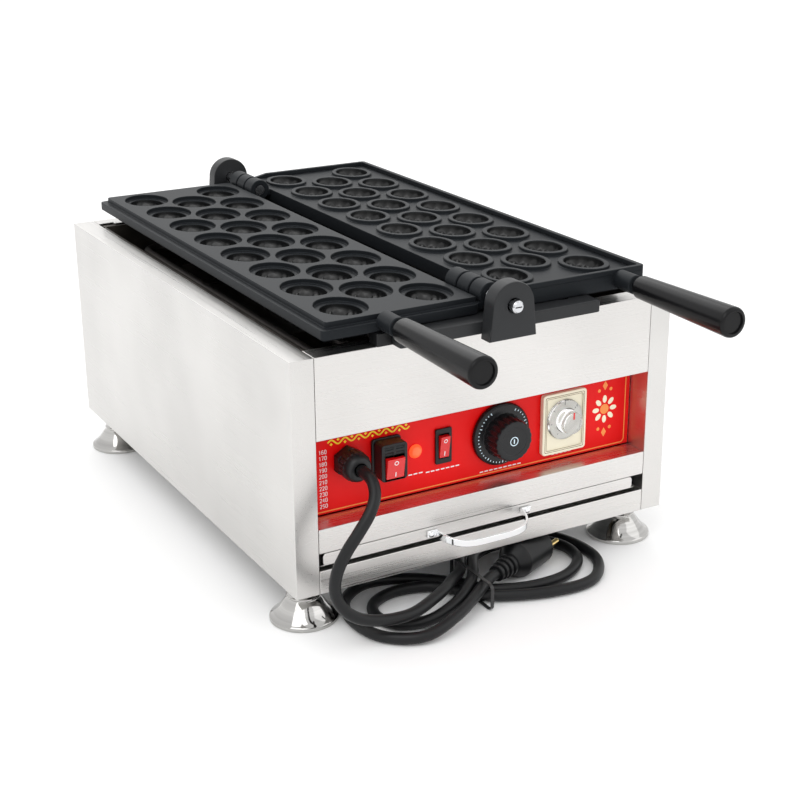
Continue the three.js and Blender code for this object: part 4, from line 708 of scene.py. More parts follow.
left = with_boss(plate(False), LEFT_HANDLE, BORDER_FACE).mirrored_x()
right = with_boss(plate(True), RIGHT_HANDLE, RIM_TOP)
for side, cast in (("left", left), ("right", right)):
    node = side + "_plate"
    cast.lifted(HINGE_Z)
    piece(side + "_mould_plate", cast, "coating", node, (node,), 28, "bowl_painted_shade")
for side, index, web_top in (("left", 0, BORDER_FACE), ("right", 1, FACE)):
    for place_number, span in enumerate(knuckle_spans(index), 1):
        hinge = knuckle(*span, web_top).lifted(HINGE_Z)
        if side == "left":
            hinge.mirrored_x()
        name = f"{side}_knuckle_{place_number}"
        piece(name + "_cast", hinge, "coating", side + "_plate", (name,))


# Mains cord, along the same route as the source's solids
CORD_R = 4.7
CORD_D = 2 * CORD_R
CORD_STEP = 3
HANK_GAP = 1.8
TIE_THICK = 0.7
TIE_CLEAR = 0.5
TIE_WIDTH = 3
WAIST = (-21, -248.2)
OVER = (7.4, 51.5)
UNDER = (11.6, 125.8)
STRAND = 11.1
UNDER_Z = CORD_R + TIE_THICK + TIE_CLEAR
OVER_Z = UNDER_Z + CORD_D + HANK_GAP
LOBES = (
    (126.6, 59.5, 16.1, 1), (87.9, 29.2, 179.5, -1), (116.5, 38.3, 16, 1), (107.4, 51.6, 177.9, -1),
)
LOBE_ANGLES = (27, 48, 70, 90, 110, 132, 153)
LOBE_HUMPS = (0.6, 0.15, 0, 0, 0, 0.15, 0.6)
LOBE_FULLNESS = 1.4
HANK_START = Vector((-44, -252, 19.5))
HANK_AIM = (Vector((-31, -239.5, 17.5)) - HANK_START).normalized()
LEAD = (
    (-118.5, -262, 127.5), (-121.5, -271, 120.5), (-129, -277, 110.5), (-139.5, -279, 98),
    (-150.5, -279, 84), (-159, -279, 68), (-160.5, -279, 53), (-155, -279.5, 39),
    (-143, -280.5, 28), (-123, -281.5, 21), (-96, -280, 18.5), (-70, -270, 20),
)
PLUG_R = 16
PLUG_BACK = Vector((-0.1, -252.1, PLUG_R + GAP))
PLUG_HEADING = 24.9
RECESS = 24
FILM = 0.8
PANEL_FACE = -HALF_D + RECESS - FILM - GAP
STAND_ON = PANEL_FACE - GAP
GLAND = (-118, 96.4 + FLOOR_Z)
GLAND_HEX_LENGTH = 8
DOME_LENGTH = 15
DOME_BACK = STAND_ON - GLAND_HEX_LENGTH - GAP
GLAND_MOUTH = DOME_BACK - DOME_LENGTH


def heading(degrees):
    return Vector((cos(radians(degrees)), sin(radians(degrees)), 0))


def smooth_path(points):
    """Evenly spaced points along a centripetal spline through the given ones."""
    points = [Vector(p) for p in points]
    ends = [2 * points[0] - points[1]] + points + [2 * points[-1] - points[-2]]
    fine = []
    for p0, p1, p2, p3 in zip(ends, ends[1:], ends[2:], ends[3:]):
        d0, d1, d2 = ((b - a).length ** 0.5 for a, b in ((p0, p1), (p1, p2), (p2, p3)))
        m1 = ((p1 - p0) / d0 - (p2 - p0) / (d0 + d1) + (p2 - p1) / d1) * d1
        m2 = ((p2 - p1) / d1 - (p3 - p1) / (d1 + d2) + (p3 - p2) / d2) * d1
        for k in range(24):
            t = k / 24
            fine.append(
                (2 * t**3 - 3 * t**2 + 1) * p1 + (t**3 - 2 * t**2 + t) * m1
                + (3 * t**2 - 2 * t**3) * p2 + (t**3 - t**2) * m2
            )
    fine.append(points[-1])
    along = np.cumsum([0] + [(b - a).length for a, b in zip(fine, fine[1:])])
    even = np.linspace(0, along[-1], max(2, round(along[-1] / CORD_STEP)) + 1)
    flat = np.array([tuple(p) for p in fine])
    return [Vector(p) for p in np.stack([np.interp(even, along, flat[:, i]) for i in range(3)], 1)]


def crossing(offset, run, degrees, height):
    """Both ends of a run across the hank's waist."""
    middle = Vector((*WAIST, height)) + heading(degrees + 90) * offset * STRAND
    return [middle - heading(degrees) * run, middle + heading(degrees) * run]


def lobe(index, before, after):
    """One lobe of the hank, from the height before to the height after."""
    reach, half, degrees, side = LOBES[index]
    points = []
    for angle, hump in zip(LOBE_ANGLES, LOBE_HUMPS):
        top = before if angle < 90 else after
        point = Vector((*WAIST, CORD_R + hump * (top - CORD_R)))
        point += heading(degrees) * reach * sin(radians(angle)) ** LOBE_FULLNESS
        point += heading(degrees + 90) * side * half * sin(radians(2 * angle))
        points.append(point)
    return points


def hank_route():
    route = [HANK_START, HANK_START + HANK_AIM * CORD_D, crossing(1, *OVER, OVER_Z)[1]]
    route += lobe(0, OVER_Z, UNDER_Z) + crossing(0.5, *UNDER, UNDER_Z)
    route += lobe(1, UNDER_Z, OVER_Z) + crossing(0, *OVER, OVER_Z)
    route += lobe(2, OVER_Z, UNDER_Z) + crossing(-0.5, *UNDER, UNDER_Z)
    route += lobe(3, UNDER_Z, OVER_Z)
    aim = heading(PLUG_HEADING)
    return route + [PLUG_BACK - aim * (GAP + CORD_D), PLUG_BACK - aim * GAP]


def swept(points, section):
    """A section of (a, b) points carried along a path without twisting."""
    up = Vector((0, 0, 1))
    loops = []
    for i, point in enumerate(points):
        ahead = (points[min(i + 1, len(points) - 1)] - points[max(i - 1, 0)]).normalized()
        aside = ahead.cross(up).normalized()
        up = aside.cross(ahead)
        loops.append([tuple(point + aside * a + up * b) for a, b in section])
    return Shape().loops(loops)


lead_start = Vector((GLAND[0], GLAND_MOUTH - GAP, GLAND[1]))
lead_end = HANK_START - HANK_AIM * GAP
lead_out = lead_start + Vector((0, -CORD_D, 0))
lead = smooth_path([lead_start, lead_out, *LEAD, lead_end - HANK_AIM * CORD_D, lead_end])
hank = smooth_path(hank_route())
for point in hank:
    point.z = max(point.z, CORD_R)
cord_path = lead + hank[1:]
cord = piece(
    "mains_cord", swept(cord_path, circle(CORD_R, 20)), "rubber", "cabinet",
    ("cord_lead", "cord_hank"), 60,
)


# Plug on the cord's end
RELIEF = 22
SHOULDER = 8
PLUG_LENGTH = 36
PLUG_FRONT = RELIEF + SHOULDER + PLUG_LENGTH
PLUG_RECESS = 2
COLLAR_R = 9.4
NECK_R = 7
RIBS = 4
RIB_GROOVE = 1.2
PRONG_R = 2.4
PRONG_APART = 19


def on_plug(shape):
    """Turns a shape drawn up the Z axis to lie along the plug."""
    aim = heading(PLUG_HEADING)
    aside = heading(PLUG_HEADING - 90)
    shape.points = [
        tuple(PLUG_BACK + aim * z + aside * x + Vector((0, 0, 1)) * y) for x, y, z in shape.points
    ]
    return shape


def plug_profile():
    profile = [(CORD_R + 0.3, 0)]
    rib = RELIEF / RIBS
    for i in range(RIBS):
        radius = NECK_R + (COLLAR_R - NECK_R) * i / (RIBS - 1)
        start = i * rib
        low = radius - RIB_GROOVE
        profile += [
            (low + 0.3, start), (radius - 0.3, start + 0.1), (radius, start + 0.5),
            (radius, start + rib * 0.6 - 0.4), (radius - 0.3, start + rib * 0.6),
            (low, start + rib * 0.7), (low, start + rib * 0.95),
        ]
    shoulder_end = RELIEF + SHOULDER
    return profile + [
        (COLLAR_R - 0.3, RELIEF), (COLLAR_R, RELIEF + 0.3),
        (COLLAR_R * 1.12, RELIEF + SHOULDER * 0.14), (COLLAR_R * 1.32, RELIEF + SHOULDER * 0.42),
        (PLUG_R - 1.2, RELIEF + SHOULDER * 0.8), (PLUG_R - 0.3, shoulder_end),
        (PLUG_R, shoulder_end + 1.2), (PLUG_R, PLUG_FRONT - 1.6), (PLUG_R - 0.5, PLUG_FRONT - 0.4),
        (PLUG_R - 1.3, PLUG_FRONT), (PLUG_R * 0.84, PLUG_FRONT), (PLUG_R * 0.81, PLUG_FRONT - 0.5),
        (PLUG_R * 0.81, PLUG_FRONT - PLUG_RECESS),
    ]


plug = on_plug(turned(plug_profile(), (0, 0), "z", 64))
plug_piece = piece("mains_plug", plug, "rubber", "cabinet", ("plug",), 30)
face_at = PLUG_FRONT - PLUG_RECESS
prong = [(PRONG_R, -7), (PRONG_R, 17.2), (PRONG_R - 0.3, 18.3), (PRONG_R - 1, 19)]
for side, node in ((-1, "plug_pin_a"), (1, "plug_pin_b")):
    pin = on_plug(turned(prong, (side * PRONG_APART / 2, 0), "z", 32, at=face_at))
    piece(node + "_round", pin, "brass", "cabinet", (node,), 50)


# Tie round the hank's waist
def tie():
    top = OVER_Z + CORD_R + TIE_CLEAR + TIE_THICK
    reach = (STRAND + CORD_R + TIE_WIDTH) / cos(radians(OVER[1]))
    half = reach + TIE_CLEAR + TIE_THICK
    low = TIE_CLEAR / 2
    thick = TIE_THICK
    outer = rounded_box(-half, half, low, top, CORD_R, 8)
    inner = rounded_box(-half + thick, half - thick, low + thick, top - thick, CORD_R - thick, 8)
    strap = band(outer, inner, -TIE_WIDTH / 2, TIE_WIDTH / 2)
    strap.points = [(WAIST[0] + along, WAIST[1] + across, z) for across, along, z in strap.points]
    return strap


tie_piece = piece("cord_tie_strap", tie(), "tie_black", "cabinet", ("cord_tie",))


# Feet
FOOT_R = 27.6
FOOT_AT = (154.6, 211)
FOOT_HEIGHT = FLOOR_Z - GAP
STUD_R = 4
STUD_LENGTH = 14
# The bell from the floor up, as shares of its radius and height
FOOT_PROFILE = (
    (0.975, 0), (1, 0.02), (1, 0.085), (0.985, 0.105), (0.95, 0.125), (0.87, 0.175), (0.78, 0.255),
    (0.69, 0.345), (0.61, 0.44), (0.53, 0.525), (0.475, 0.56), (0.462, 0.585), (0.475, 0.605),
    (0.5, 0.62), (0.495, 0.645), (0.45, 0.67), (0.422, 0.7), (0.42, 0.73), (0.42, 0.985), (0.405, 1),
)
stud_top = FOOT_HEIGHT + STUD_LENGTH
foot = [
    (NEAR_ZERO, 1.2), (FOOT_R * 0.9, 1.2), (FOOT_R * 0.92, 0),
    *[(r * FOOT_R, h * FOOT_HEIGHT) for r, h in FOOT_PROFILE],
    (STUD_R, FOOT_HEIGHT), (STUD_R, stud_top - 1), (STUD_R - 1, stud_top),
]
for end, y in (("front", -FOOT_AT[1]), ("rear", FOOT_AT[1])):
    for side, x in (("left", -FOOT_AT[0]), ("right", FOOT_AT[0])):
        node = f"foot_{end}_{side}"
        piece(node + "_bell", turned(foot, (x, y), "z", 72), "foot_chrome_painted_reflections", node, (node,), 32)


# Handles
GRIP_START = 268
GRIP_TAPER = 104
GRIP_NECK = 9.5
GRIP_R = 12
ROD_R = 4
neck_y = -GRIP_START - 1.6
grip = [
    (4.3, -GRIP_START - 4), (5.2, -GRIP_START), (GRIP_NECK - 1.6, -GRIP_START),
    (GRIP_NECK - 0.5, -GRIP_START - 0.5), (GRIP_NECK, neck_y),
]
for i in range(1, 9):
    grip.append((GRIP_NECK + (GRIP_R - GRIP_NECK) * i / 9, neck_y - GRIP_TAPER * i / 9))
grip += [
    (GRIP_R, -GRIP_END + 2.6), (GRIP_R - 0.25, -GRIP_END + 1.5), (GRIP_R - 0.8, -GRIP_END + 0.6),
    (GRIP_R - 1.8, -GRIP_END + 0.1), (GRIP_R - 2.8, -GRIP_END), (GRIP_R * 0.72, -GRIP_END),
    (GRIP_R * 0.7, -GRIP_END + 0.4), (GRIP_R * 0.69, -GRIP_END + 1.5), (NEAR_ZERO, -GRIP_END + 1.5),
]
rod = [(ROD_R, -GRIP_START - 80), (ROD_R, -BOSS_END + 8)]
for side, x in (("left", -LEFT_HANDLE), ("right", RIGHT_HANDLE)):
    centre = (x, HINGE_Z - HANDLE_DROP)
    body = side + "_plate"
    piece(
        side + "_grip_round", turned(grip, centre, sides=64), "bakelite", body,
        (side + "_handle_grip",), 32,
    )
    piece(
        side + "_rod_round", turned(rod, centre, sides=40), "pin_steel", body,
        (side + "_handle_rod",),
    )


# Hinge brackets, bolts and pins
BAR_HALF = 91
BAR_LOW = TOP_Z + GAP
BAR_TOP = BAR_LOW + 10.1
BAR_Y = (-HALF_D - 15, -HALF_D + 14)
BAR_CORNER = 1.5
BOLT_AT = (68, -HALF_D + 7)
BOLT_SIDES = 40
WELL_R = 6.5
WELL_DEPTH = 6.2
BOLT_BORE = 4.5
BOLT_R = 4
BOLT_LENGTH = 20
HEAD_R = 6
HEAD_HEIGHT = 5
SOCKET_R = 2.6
SOCKET_DEPTH = 2.6
EAR_Y = (-HALF_D - 29, -HALF_D - 15)
EAR_R = 18.5
EAR_FOOT = 21
EAR_LOW = BAR_LOW - GAP - 3
EAR_RAYS = 96
PIN_R = 5
PIN_BORE_R = PIN_R + 0.5
PIN_FRONT = EAR_Y[0] - 6
COLLAR_OUT = 7
COLLAR_LENGTH = 3


def ear_radius(angle, inset):
    """Where a ray from the pin meets the ear's outline."""
    dx, dz = cos(angle), sin(angle)
    radius = EAR_R - inset
    if dz >= 0:
        return radius
    slope = (EAR_FOOT - EAR_R) / (HINGE_Z - EAR_LOW)
    side = radius / max(abs(dx) - slope * -dz, 1e-6)
    return min((EAR_LOW + inset - HINGE_Z) / dz, side)


def bracket():
    """A bar with two bolt wells, and the ear that holds the pin."""
    corner = atan2(EAR_LOW - HINGE_Z, EAR_FOOT) % TURN
    other = pi * 3 - corner
    rays = [TURN * i / EAR_RAYS for i in range(EAR_RAYS)]
    rays = sorted(rays + [corner - 0.02, corner, other, other + 0.02])

    def ear_loop(y, inset, bore=0.0):
        loop = []
        for angle in rays:
            radius = bore or ear_radius(angle, inset)
            loop.append((radius * cos(angle), y, HINGE_Z + radius * sin(angle)))
        return loop

    y0, y1 = EAR_Y
    shape = Shape().loops(
        [
            ear_loop(y0 + 0.8, 0, PIN_BORE_R), ear_loop(y0, 0, PIN_BORE_R + 0.8), ear_loop(y0, 1.2),
            ear_loop(y0 + 0.35, 0.35), ear_loop(y0 + 1.2, 0), ear_loop(y1 - 1, 0),
            ear_loop(y1 - 0.3, 0.3), ear_loop(y1, 1), ear_loop(y1, 0, PIN_BORE_R),
        ],
        ring=True,
    )
    well_profile = [
        (WELL_R + 0.4, 0), (WELL_R, -0.4), (WELL_R, -WELL_DEPTH), (BOLT_BORE, -WELL_DEPTH),
        (BOLT_BORE, BAR_LOW - BAR_TOP),
    ]
    holes = []
    for side in (-1, 1):
        centre = (side * BOLT_AT[0], BOLT_AT[1])
        well = turned(well_profile, centre, "z", BOLT_SIDES, (False, False), at=BAR_TOP)
        shape.join(well)
        holes.append(well.points[:BOLT_SIDES][::-1])
    rows = []
    for inset, z in (
        (0.6, BAR_LOW), (0, BAR_LOW + 0.6), (0, BAR_TOP - 0.9), (0.25, BAR_TOP - 0.3), (0.9, BAR_TOP),
    ):
        box = rounded_box(
            -BAR_HALF + inset, BAR_HALF - inset, BAR_Y[0] + inset, BAR_Y[1] - inset, BAR_CORNER
        )
        rows.append([(x, y, z) for x, y in box])
    return shape.loops(rows, (True, False)).pierced(rows[-1], holes)


def hinge_pin():
    inner = -PLATE_HALF + KNUCKLE_START + 2 * KNUCKLE_PITCH + KNUCKLE_LENGTH
    collar = -PLATE_HALF - GAP
    front = collar - COLLAR_LENGTH
    return turned(
        [
            (NEAR_ZERO, PIN_FRONT), (PIN_R - 1, PIN_FRONT), (PIN_R, PIN_FRONT + 1), (PIN_R, front),
            (COLLAR_OUT - 0.4, front), (COLLAR_OUT, front + 0.4), (COLLAR_OUT, collar - 0.4),
            (COLLAR_OUT - 0.4, collar), (PIN_R, collar), (PIN_R, inner), (NEAR_ZERO, inner),
        ],
        (0, HINGE_Z), sides=40,
    )


def cap_screw(x):
    """A bolt with a hexagon socket in its head."""
    sides = 36
    rim_r = 3.5
    seat = BAR_TOP - WELL_DEPTH + GAP
    top = seat + HEAD_HEIGHT
    head = turned(
        [
            (BOLT_R, seat - BOLT_LENGTH), (BOLT_R, seat), (HEAD_R, seat), (HEAD_R, top - 0.7),
            (HEAD_R - 0.2, top - 0.2), (HEAD_R - 0.7, top), (rim_r, top),
        ],
        (x, BOLT_AT[1]), "z", sides, (True, False),
    )
    rim_loop = [(x + a, BOLT_AT[1] + b, top) for a, b in circle(rim_r, sides)]
    mouth, floor = [], []
    for i in range(sides):
        angle = TURN * i / sides
        fold = (angle + pi / 6) % (pi / 3) - pi / 6
        radius = SOCKET_R / cos(fold)
        spot = (x + radius * cos(angle), BOLT_AT[1] + radius * sin(angle))
        mouth.append((*spot, top - 0.1))
        floor.append((*spot, top - SOCKET_DEPTH))
    return head.loops([rim_loop, mouth, floor], (False, True))


for end in ("front", "rear"):
    # The pin's slot is a flat dark mark on its end: painted shade in place of a cut groove
    slot = flat_mark(bar_between((-3, HINGE_Z), (3, HINGE_Z), 1), PIN_FRONT + 0.02, 0.04)
    made = [
        ("_ear_bracket", bracket(), "bracket_paint", (end + "_hinge_bracket",), 30),
        ("_pin_round", hinge_pin(), "pin_steel", (end + "_hinge_pin",), 32),
        ("_pin_slot_painted_shade", slot, "dark_ink_and_slot_shade", (), SMOOTH_ANGLE),
    ]
    for side, x in (("left", -BOLT_AT[0]), ("right", BOLT_AT[0])):
        screw = cap_screw(-x if end == "rear" else x)
        made.append((f"_{side}_cap_screw", screw, "pin_steel", (f"bracket_bolt_{end}_{side}",), 32))
    for name, shape, finish, nodes, smooth in made:
        if end == "rear":
            shape.half_turned()
        piece(end + name, shape, finish, "cabinet", nodes, smooth)


# Rest under the left plate's boss, on the front edge of the cabinet
REST_HALF = 9
rest_outline = rounded_box(
    -LEFT_HANDLE - REST_HALF, -LEFT_HANDLE + REST_HALF, BAR_LOW, HINGE_Z + PLATE_LOW - 0.4, 1
)
piece("front_rest_block", prism(rest_outline, -HALF_D - 3, -HALF_D + 10, 0.6), "rubber")


# Cable gland: a smooth mouth, then grip ribs round the nut
DOME_SIDES = 72
RIB_DEPTH = 0.7
dome = turned(
    [
        (CORD_R + 0.4, 4), (CORD_R + 0.5, 0.5), (CORD_R + 1.1, 0), (8, 0), (9, 0.5), (10.2, 2),
        (11.2, 4.4), (11.6, 6.6),
    ],
    GLAND, "y", DOME_SIDES, (False, False), at=GLAND_MOUTH,
)
ribs = []
for y, radius, bite in (
    (GLAND_MOUTH + 6.6, 11.6, 0), (GLAND_MOUTH + 7, 12, RIB_DEPTH), (DOME_BACK, 12, RIB_DEPTH),
):
    radii = [radius - (bite if i % 4 == 0 else 0) for i in range(DOME_SIDES)]
    ribs.append(wheel(GLAND, y, radii))
piece("gland_dome", dome.loops(ribs, (False, True)), "black", "cabinet", ("gland_dome_nut",), 30)
softened("cable_gland", 0.5, "black")


# Switches, with O and I on their rockers
ROCKER_TILT = radians(9)
ROCKER_FACE = 2.2
softened("power_switch_body", 0.7, "black", segments=3)
softened("alarm_switch_body", 0.45, "black")
softened("power_rocker", 0.6, "red_key", "power_rocker", 3)
softened("alarm_rocker", 0.5, "red_key", "alarm_rocker", 3)


def on_rocker(points, x, z, front, lift, out):
    """Points (a, b) on the face of a tipped rocker, a across it and b up it."""
    sine, cosine = sin(ROCKER_TILT), cos(ROCKER_TILT)
    y = -ROCKER_FACE - out
    return [
        (x + a, front + y * cosine - (b + lift) * sine, z + (b + lift) * cosine + y * sine)
        for a, b in points
    ]


bar_mark = [(-0.4, -2), (0.4, -2), (0.4, 2), (-0.4, 2)]
for name, x, z, front, lift, outer, inner in (
    ("power", -84, 88.6 + FLOOR_Z, STAND_ON - 2.4 - 13, 5, 1.9, 1.3),
    ("alarm", -31.5, 91 + FLOOR_Z, STAND_ON - 2, 5.6, 1.7, 1.15),
):
    for sign, mark, hollow, height in (
        ("on", bar_mark, None, -lift), ("off", circle(outer, 28), circle(inner, 28), lift),
    ):
        rows = [on_rocker(mark, x, z, front, height, out) for out in (-0.05, 0.07)]
        if hollow:
            rows += [on_rocker(hollow, x, z, front, height, out) for out in (0.07, -0.05)]
        piece(
            f"{name}_{sign}_mark", Shape().loops(rows, ring=bool(hollow)), "white_ink",
            name + "_rocker", slot="red_print",
        )


# Pilot lamp and its bezel
LAMP = (-57, 91.3 + FLOOR_Z)
LENS_R = 5
LENS_RIM = 0.9
LENS_RISE = 3.1
lens = [(NEAR_ZERO, -LENS_RIM - LENS_RISE)]
for sine, cosine in quarter(12)[1:-1]:
    lens.append((LENS_R * sine**0.8, -LENS_RIM - LENS_RISE * cosine))
lens += [(LENS_R, -LENS_RIM), (4.2, -0.5), (4.2, 18)]
bezel = [(5.05, -0.3), (5.05, -1.2), (5.3, -1.35), (5.6, -1.1), (5.8, -0.5), (5.8, -0.1)]
piece("lamp_dome", turned(lens, LAMP, at=STAND_ON), "lamp_lens", "cabinet", ("pilot_lamp",))
piece("lamp_bezel", turned(bezel, LAMP, ring=True, at=STAND_ON), "lamp_lens")


# Thermostat dial: a skirt with a knurled edge and a fluted grip
DIAL = (22.6, 90.6 + FLOOR_Z)
DIAL_BACK = STAND_ON - GAP
SKIRT_FRONT = DIAL_BACK - 5
DIAL_FRONT = SKIRT_FRONT - 17
DIAL_SIDES = 144
FLUTES = 20
# Radius, distance from the back, depth of the flutes and depth of the knurls
DIAL_PROFILE = (
    (26.2, 0, 0, 0), (26.8, 0.2, 0, 0.3), (27, 1.6, 0, 0.4), (26.9, 2.8, 0, 0.4), (26.2, 3.7, 0, 0),
    (25.3, 4.4, 0, 0), (24.2, 5, 0, 0), (20, 5.1, 0, 0), (19, 5.4, 0.4, 0), (18.6, 6.4, 0.8, 0),
    (18.2, 10, 1, 0), (17.6, 19, 1, 0), (17.3, 20.6, 0.9, 0), (16.8, 21.5, 0.6, 0),
    (16, 21.92, 0.2, 0), (15, 22, 0, 0), (12, 21.9, 0, 0), (11.6, 21.6, 0, 0),
    (NEAR_ZERO, 21.5, 0, 0),
)
dial_loops = []
for radius, depth, flute, knurl in DIAL_PROFILE:
    radii = []
    for i in range(DIAL_SIDES):
        wave = 0.5 + 0.5 * cos(FLUTES * TURN * i / DIAL_SIDES)
        radii.append(radius - knurl * (i % 2) - flute * wave**3)
    dial_loops.append(wheel(DIAL, DIAL_BACK - depth, radii))
piece(
    "dial_fluted", Shape().loops(dial_loops), "dial_black", "thermostat_knob", ("thermostat_dial",), 28
)


# Strokes of plain numbers in a box one unit wide and two high
ARCH = ((0, 1.7), (0.3, 2), (0.7, 2), (1, 1.7))
CUP = ((1, 0.3), (0.7, 0), (0.3, 0), (0, 0.3))
WAIST = ((0.7, 1.05), (0.3, 1.05))
DIGITS = {
    "0": ((0, 0.3), *ARCH, *CUP),
    "1": ((0.2, 1.6), (0.6, 2), (0.6, 0)),
    "2": (*ARCH, (1, 1.3), (0, 0), (1, 0)),
    "3": ((0, 1.8), *ARCH[1:], (1, 1.3), (0.6, 1.05), (1, 0.8), *CUP[:3], (0, 0.2)),
    "4": ((0.75, 0), (0.75, 2), (0, 0.6), (1, 0.6)),
    "5": ((1, 2), (0.1, 2), (0, 1.1), (0.6, 1.2), (1, 0.9), (1, 0.3), (0.7, 0), (0, 0)),
    "6": (
        (0.9, 2), (0.4, 2), (0, 1.4), *CUP[::-1], (1, 0.9), (0.7, 1.15), (0.3, 1.15), (0, 0.9),
    ),
    "7": ((0, 2), (1, 2), (0.4, 0)),
    "8": (
        WAIST[1], (0, 1.35), *ARCH, (1, 1.35), *WAIST, (0, 0.75), *CUP[::-1], (1, 0.75), WAIST[0],
    ),
    "9": (
        (0.1, 0), (0.6, 0), (1, 0.6), *ARCH[::-1], (0, 1.1), (0.3, 0.85), (0.7, 0.85), (1, 1.1),
    ),
}
DIGIT_GAP = 0.55


def number(text, centre, size, y, turn=0.0, weight=0.3):
    """A printed number, its middle at centre (x, z), size millimetres tall."""
    shape = Shape()
    unit = size / 2
    width = (len(text) + DIGIT_GAP * (len(text) - 1)) * unit
    across = Vector((cos(turn), sin(turn)))
    upward = Vector((-across.y, across.x))
    for i, sign in enumerate(text):
        spots = []
        for u, v in DIGITS[sign]:
            s = (i * (1 + DIGIT_GAP) + u) * unit - width / 2
            spots.append(Vector(centre) + across * s + upward * ((v - 1) * unit))
        for a, b in zip(spots, spots[1:]):
            shape.join(flat_mark(bar_between(a, b, unit * weight), y, 0.06))
    return shape


# Scale on the dial's skirt, and the mark on its cap
SCALE_START = 30
SCALE_STEP = 7.5
SCALE_COUNT = 41
scale_at = [SCALE_START + SCALE_STEP * step for step in range(SCALE_COUNT)]
skirt_marks = []
for step, degrees in enumerate(scale_at):
    ends = polar(DIAL, 22 if step % 5 == 0 else 22.9, degrees), polar(DIAL, 24.1, degrees)
    skirt_marks.append(flat_mark(bar_between(*ends, 0.75), SKIRT_FRONT + 0.05, 0.12))
for step, degrees in enumerate(scale_at):
    if step % 10 == 0:
        spot = polar(DIAL, 20.7, degrees)
        turn = -radians(degrees)
        skirt_marks.append(number(str(50 + 5 * step), spot, 2.2, SKIRT_FRONT + 0.02, turn, 0.42))
cap_line = bar_between((DIAL[0], DIAL[1] - 1.9), (DIAL[0], DIAL[1] + 1.9), 1)
skirt_marks += [ring_mark(DIAL, 3.9, 3.2, DIAL_FRONT + 0.5), flat_mark(cap_line, DIAL_FRONT + 0.5)]
printed("dial_scale", skirt_marks, "blue_ink", "thermostat_knob")


# Printed marks on the red film: plain numbers, plain bars and plain ornaments
INK_Y = PANEL_FACE + 0.02
film_white = [
    number(str(160 + 10 * row), (-138.6, 107 + FLOOR_Z - 5 * row), 3.1, INK_Y) for row in range(10)
]
# Rows of bars as start, height, count and length
BARS = (
    (-68, 71.5, 4, 3.6), (-47, 70.5, 3, 3.4), (-33, 70.5, 4, 3.4), (4, 59.4, 9, 3.4), (75, 60.4, 5, 3)
)
BAR_GAP = 1.2
for start, height, count, length in BARS:
    for step in range(count):
        x = start + step * (length + BAR_GAP)
        ends = (x, height + FLOOR_Z), (x + length, height + FLOOR_Z)
        film_white.append(flat_mark(bar_between(*ends, 1), INK_Y))
pointer = [(DIAL[0] + a, DIAL[1] + b) for a, b in ((-1.4, 31), (1.4, 31), (0, 28))]
printed("film_marks", film_white + [flat_mark(pointer, INK_Y)], "white_ink")


def lozenge(x, z, half_x, half_z):
    return flat_mark([(x - half_x, z), (x, z - half_z), (x + half_x, z), (x, z + half_z)], INK_Y)


WAVES = 6
WAVE_STEPS = 96
WAVE_X = (-134, -62)
WAVE_Z = 113.6 + FLOOR_Z


def wave_at(share):
    return WAVE_X[0] + (WAVE_X[1] - WAVE_X[0]) * share


wave = []
for step in range(WAVE_STEPS + 1):
    share = step / WAVE_STEPS
    wave.append((wave_at(share), WAVE_Z + 1.9 * sin(TURN * WAVES * share)))
wave_marks = [flat_mark(bar_between(a, b, 1.3), INK_Y) for a, b in zip(wave, wave[1:])]
for step in range(WAVES):
    for share, up in (((step + 0.25) / WAVES, -1.6), ((step + 0.75) / WAVES, 1.6)):
        wave_marks.append(lozenge(wave_at(share), WAVE_Z + up, 1.3, 1.3))
printed("film_wave", wave_marks, "yellow_ink")

ROSETTE = (128.5, 91 + FLOOR_Z)
PETALS = 8
petals = []
for step in range(PETALS):
    near, far = (Vector(polar(ROSETTE, radius, 360 * step / PETALS)) for radius in (5.6, 12.4))
    middle = (near + far) / 2
    along = (far - near) / 2
    aside = Vector((-along.y, along.x)) * 0.62
    petals.append(flat_mark([tuple(middle + along * a + aside * b) for a, b in circle(1, 24)], INK_Y))
printed("film_petals", petals, "cream_ink")
hearts = [ring_mark(ROSETTE, 4.4, 0, INK_Y)]
for up in (-21, 21):
    hearts.append(lozenge(ROSETTE[0], ROSETTE[1] + up, 2.6, 4.2))
    for aside in (-6, 6):
        hearts.append(ring_mark((ROSETTE[0] + aside, ROSETTE[1] + up * 0.82), 1.5, 0, INK_Y))
printed("film_rosette", hearts, "orange_ink")
FILM_EDGE = (-150.5, 150.5, 56.8 + FLOOR_Z, 123.6 + FLOOR_Z)
LINE = 0.9


def frame_line(edges, width, radii, steps, low, high):
    """A thin printed frame inside the edges (x0, x1, z0, z1)."""
    x0, x1, z0, z1 = edges
    inner = rounded_box(x0 + width, x1 - width, z0 + width, z1 - width, radii[1], steps)
    return band(rounded_box(*edges, radii[0], steps), inner, low, high)


piece(
    "print_border", frame_line(FILM_EDGE, LINE, (4, 3.2), 6, INK_Y, INK_Y - INK_DEPTH), "orange_ink"
)


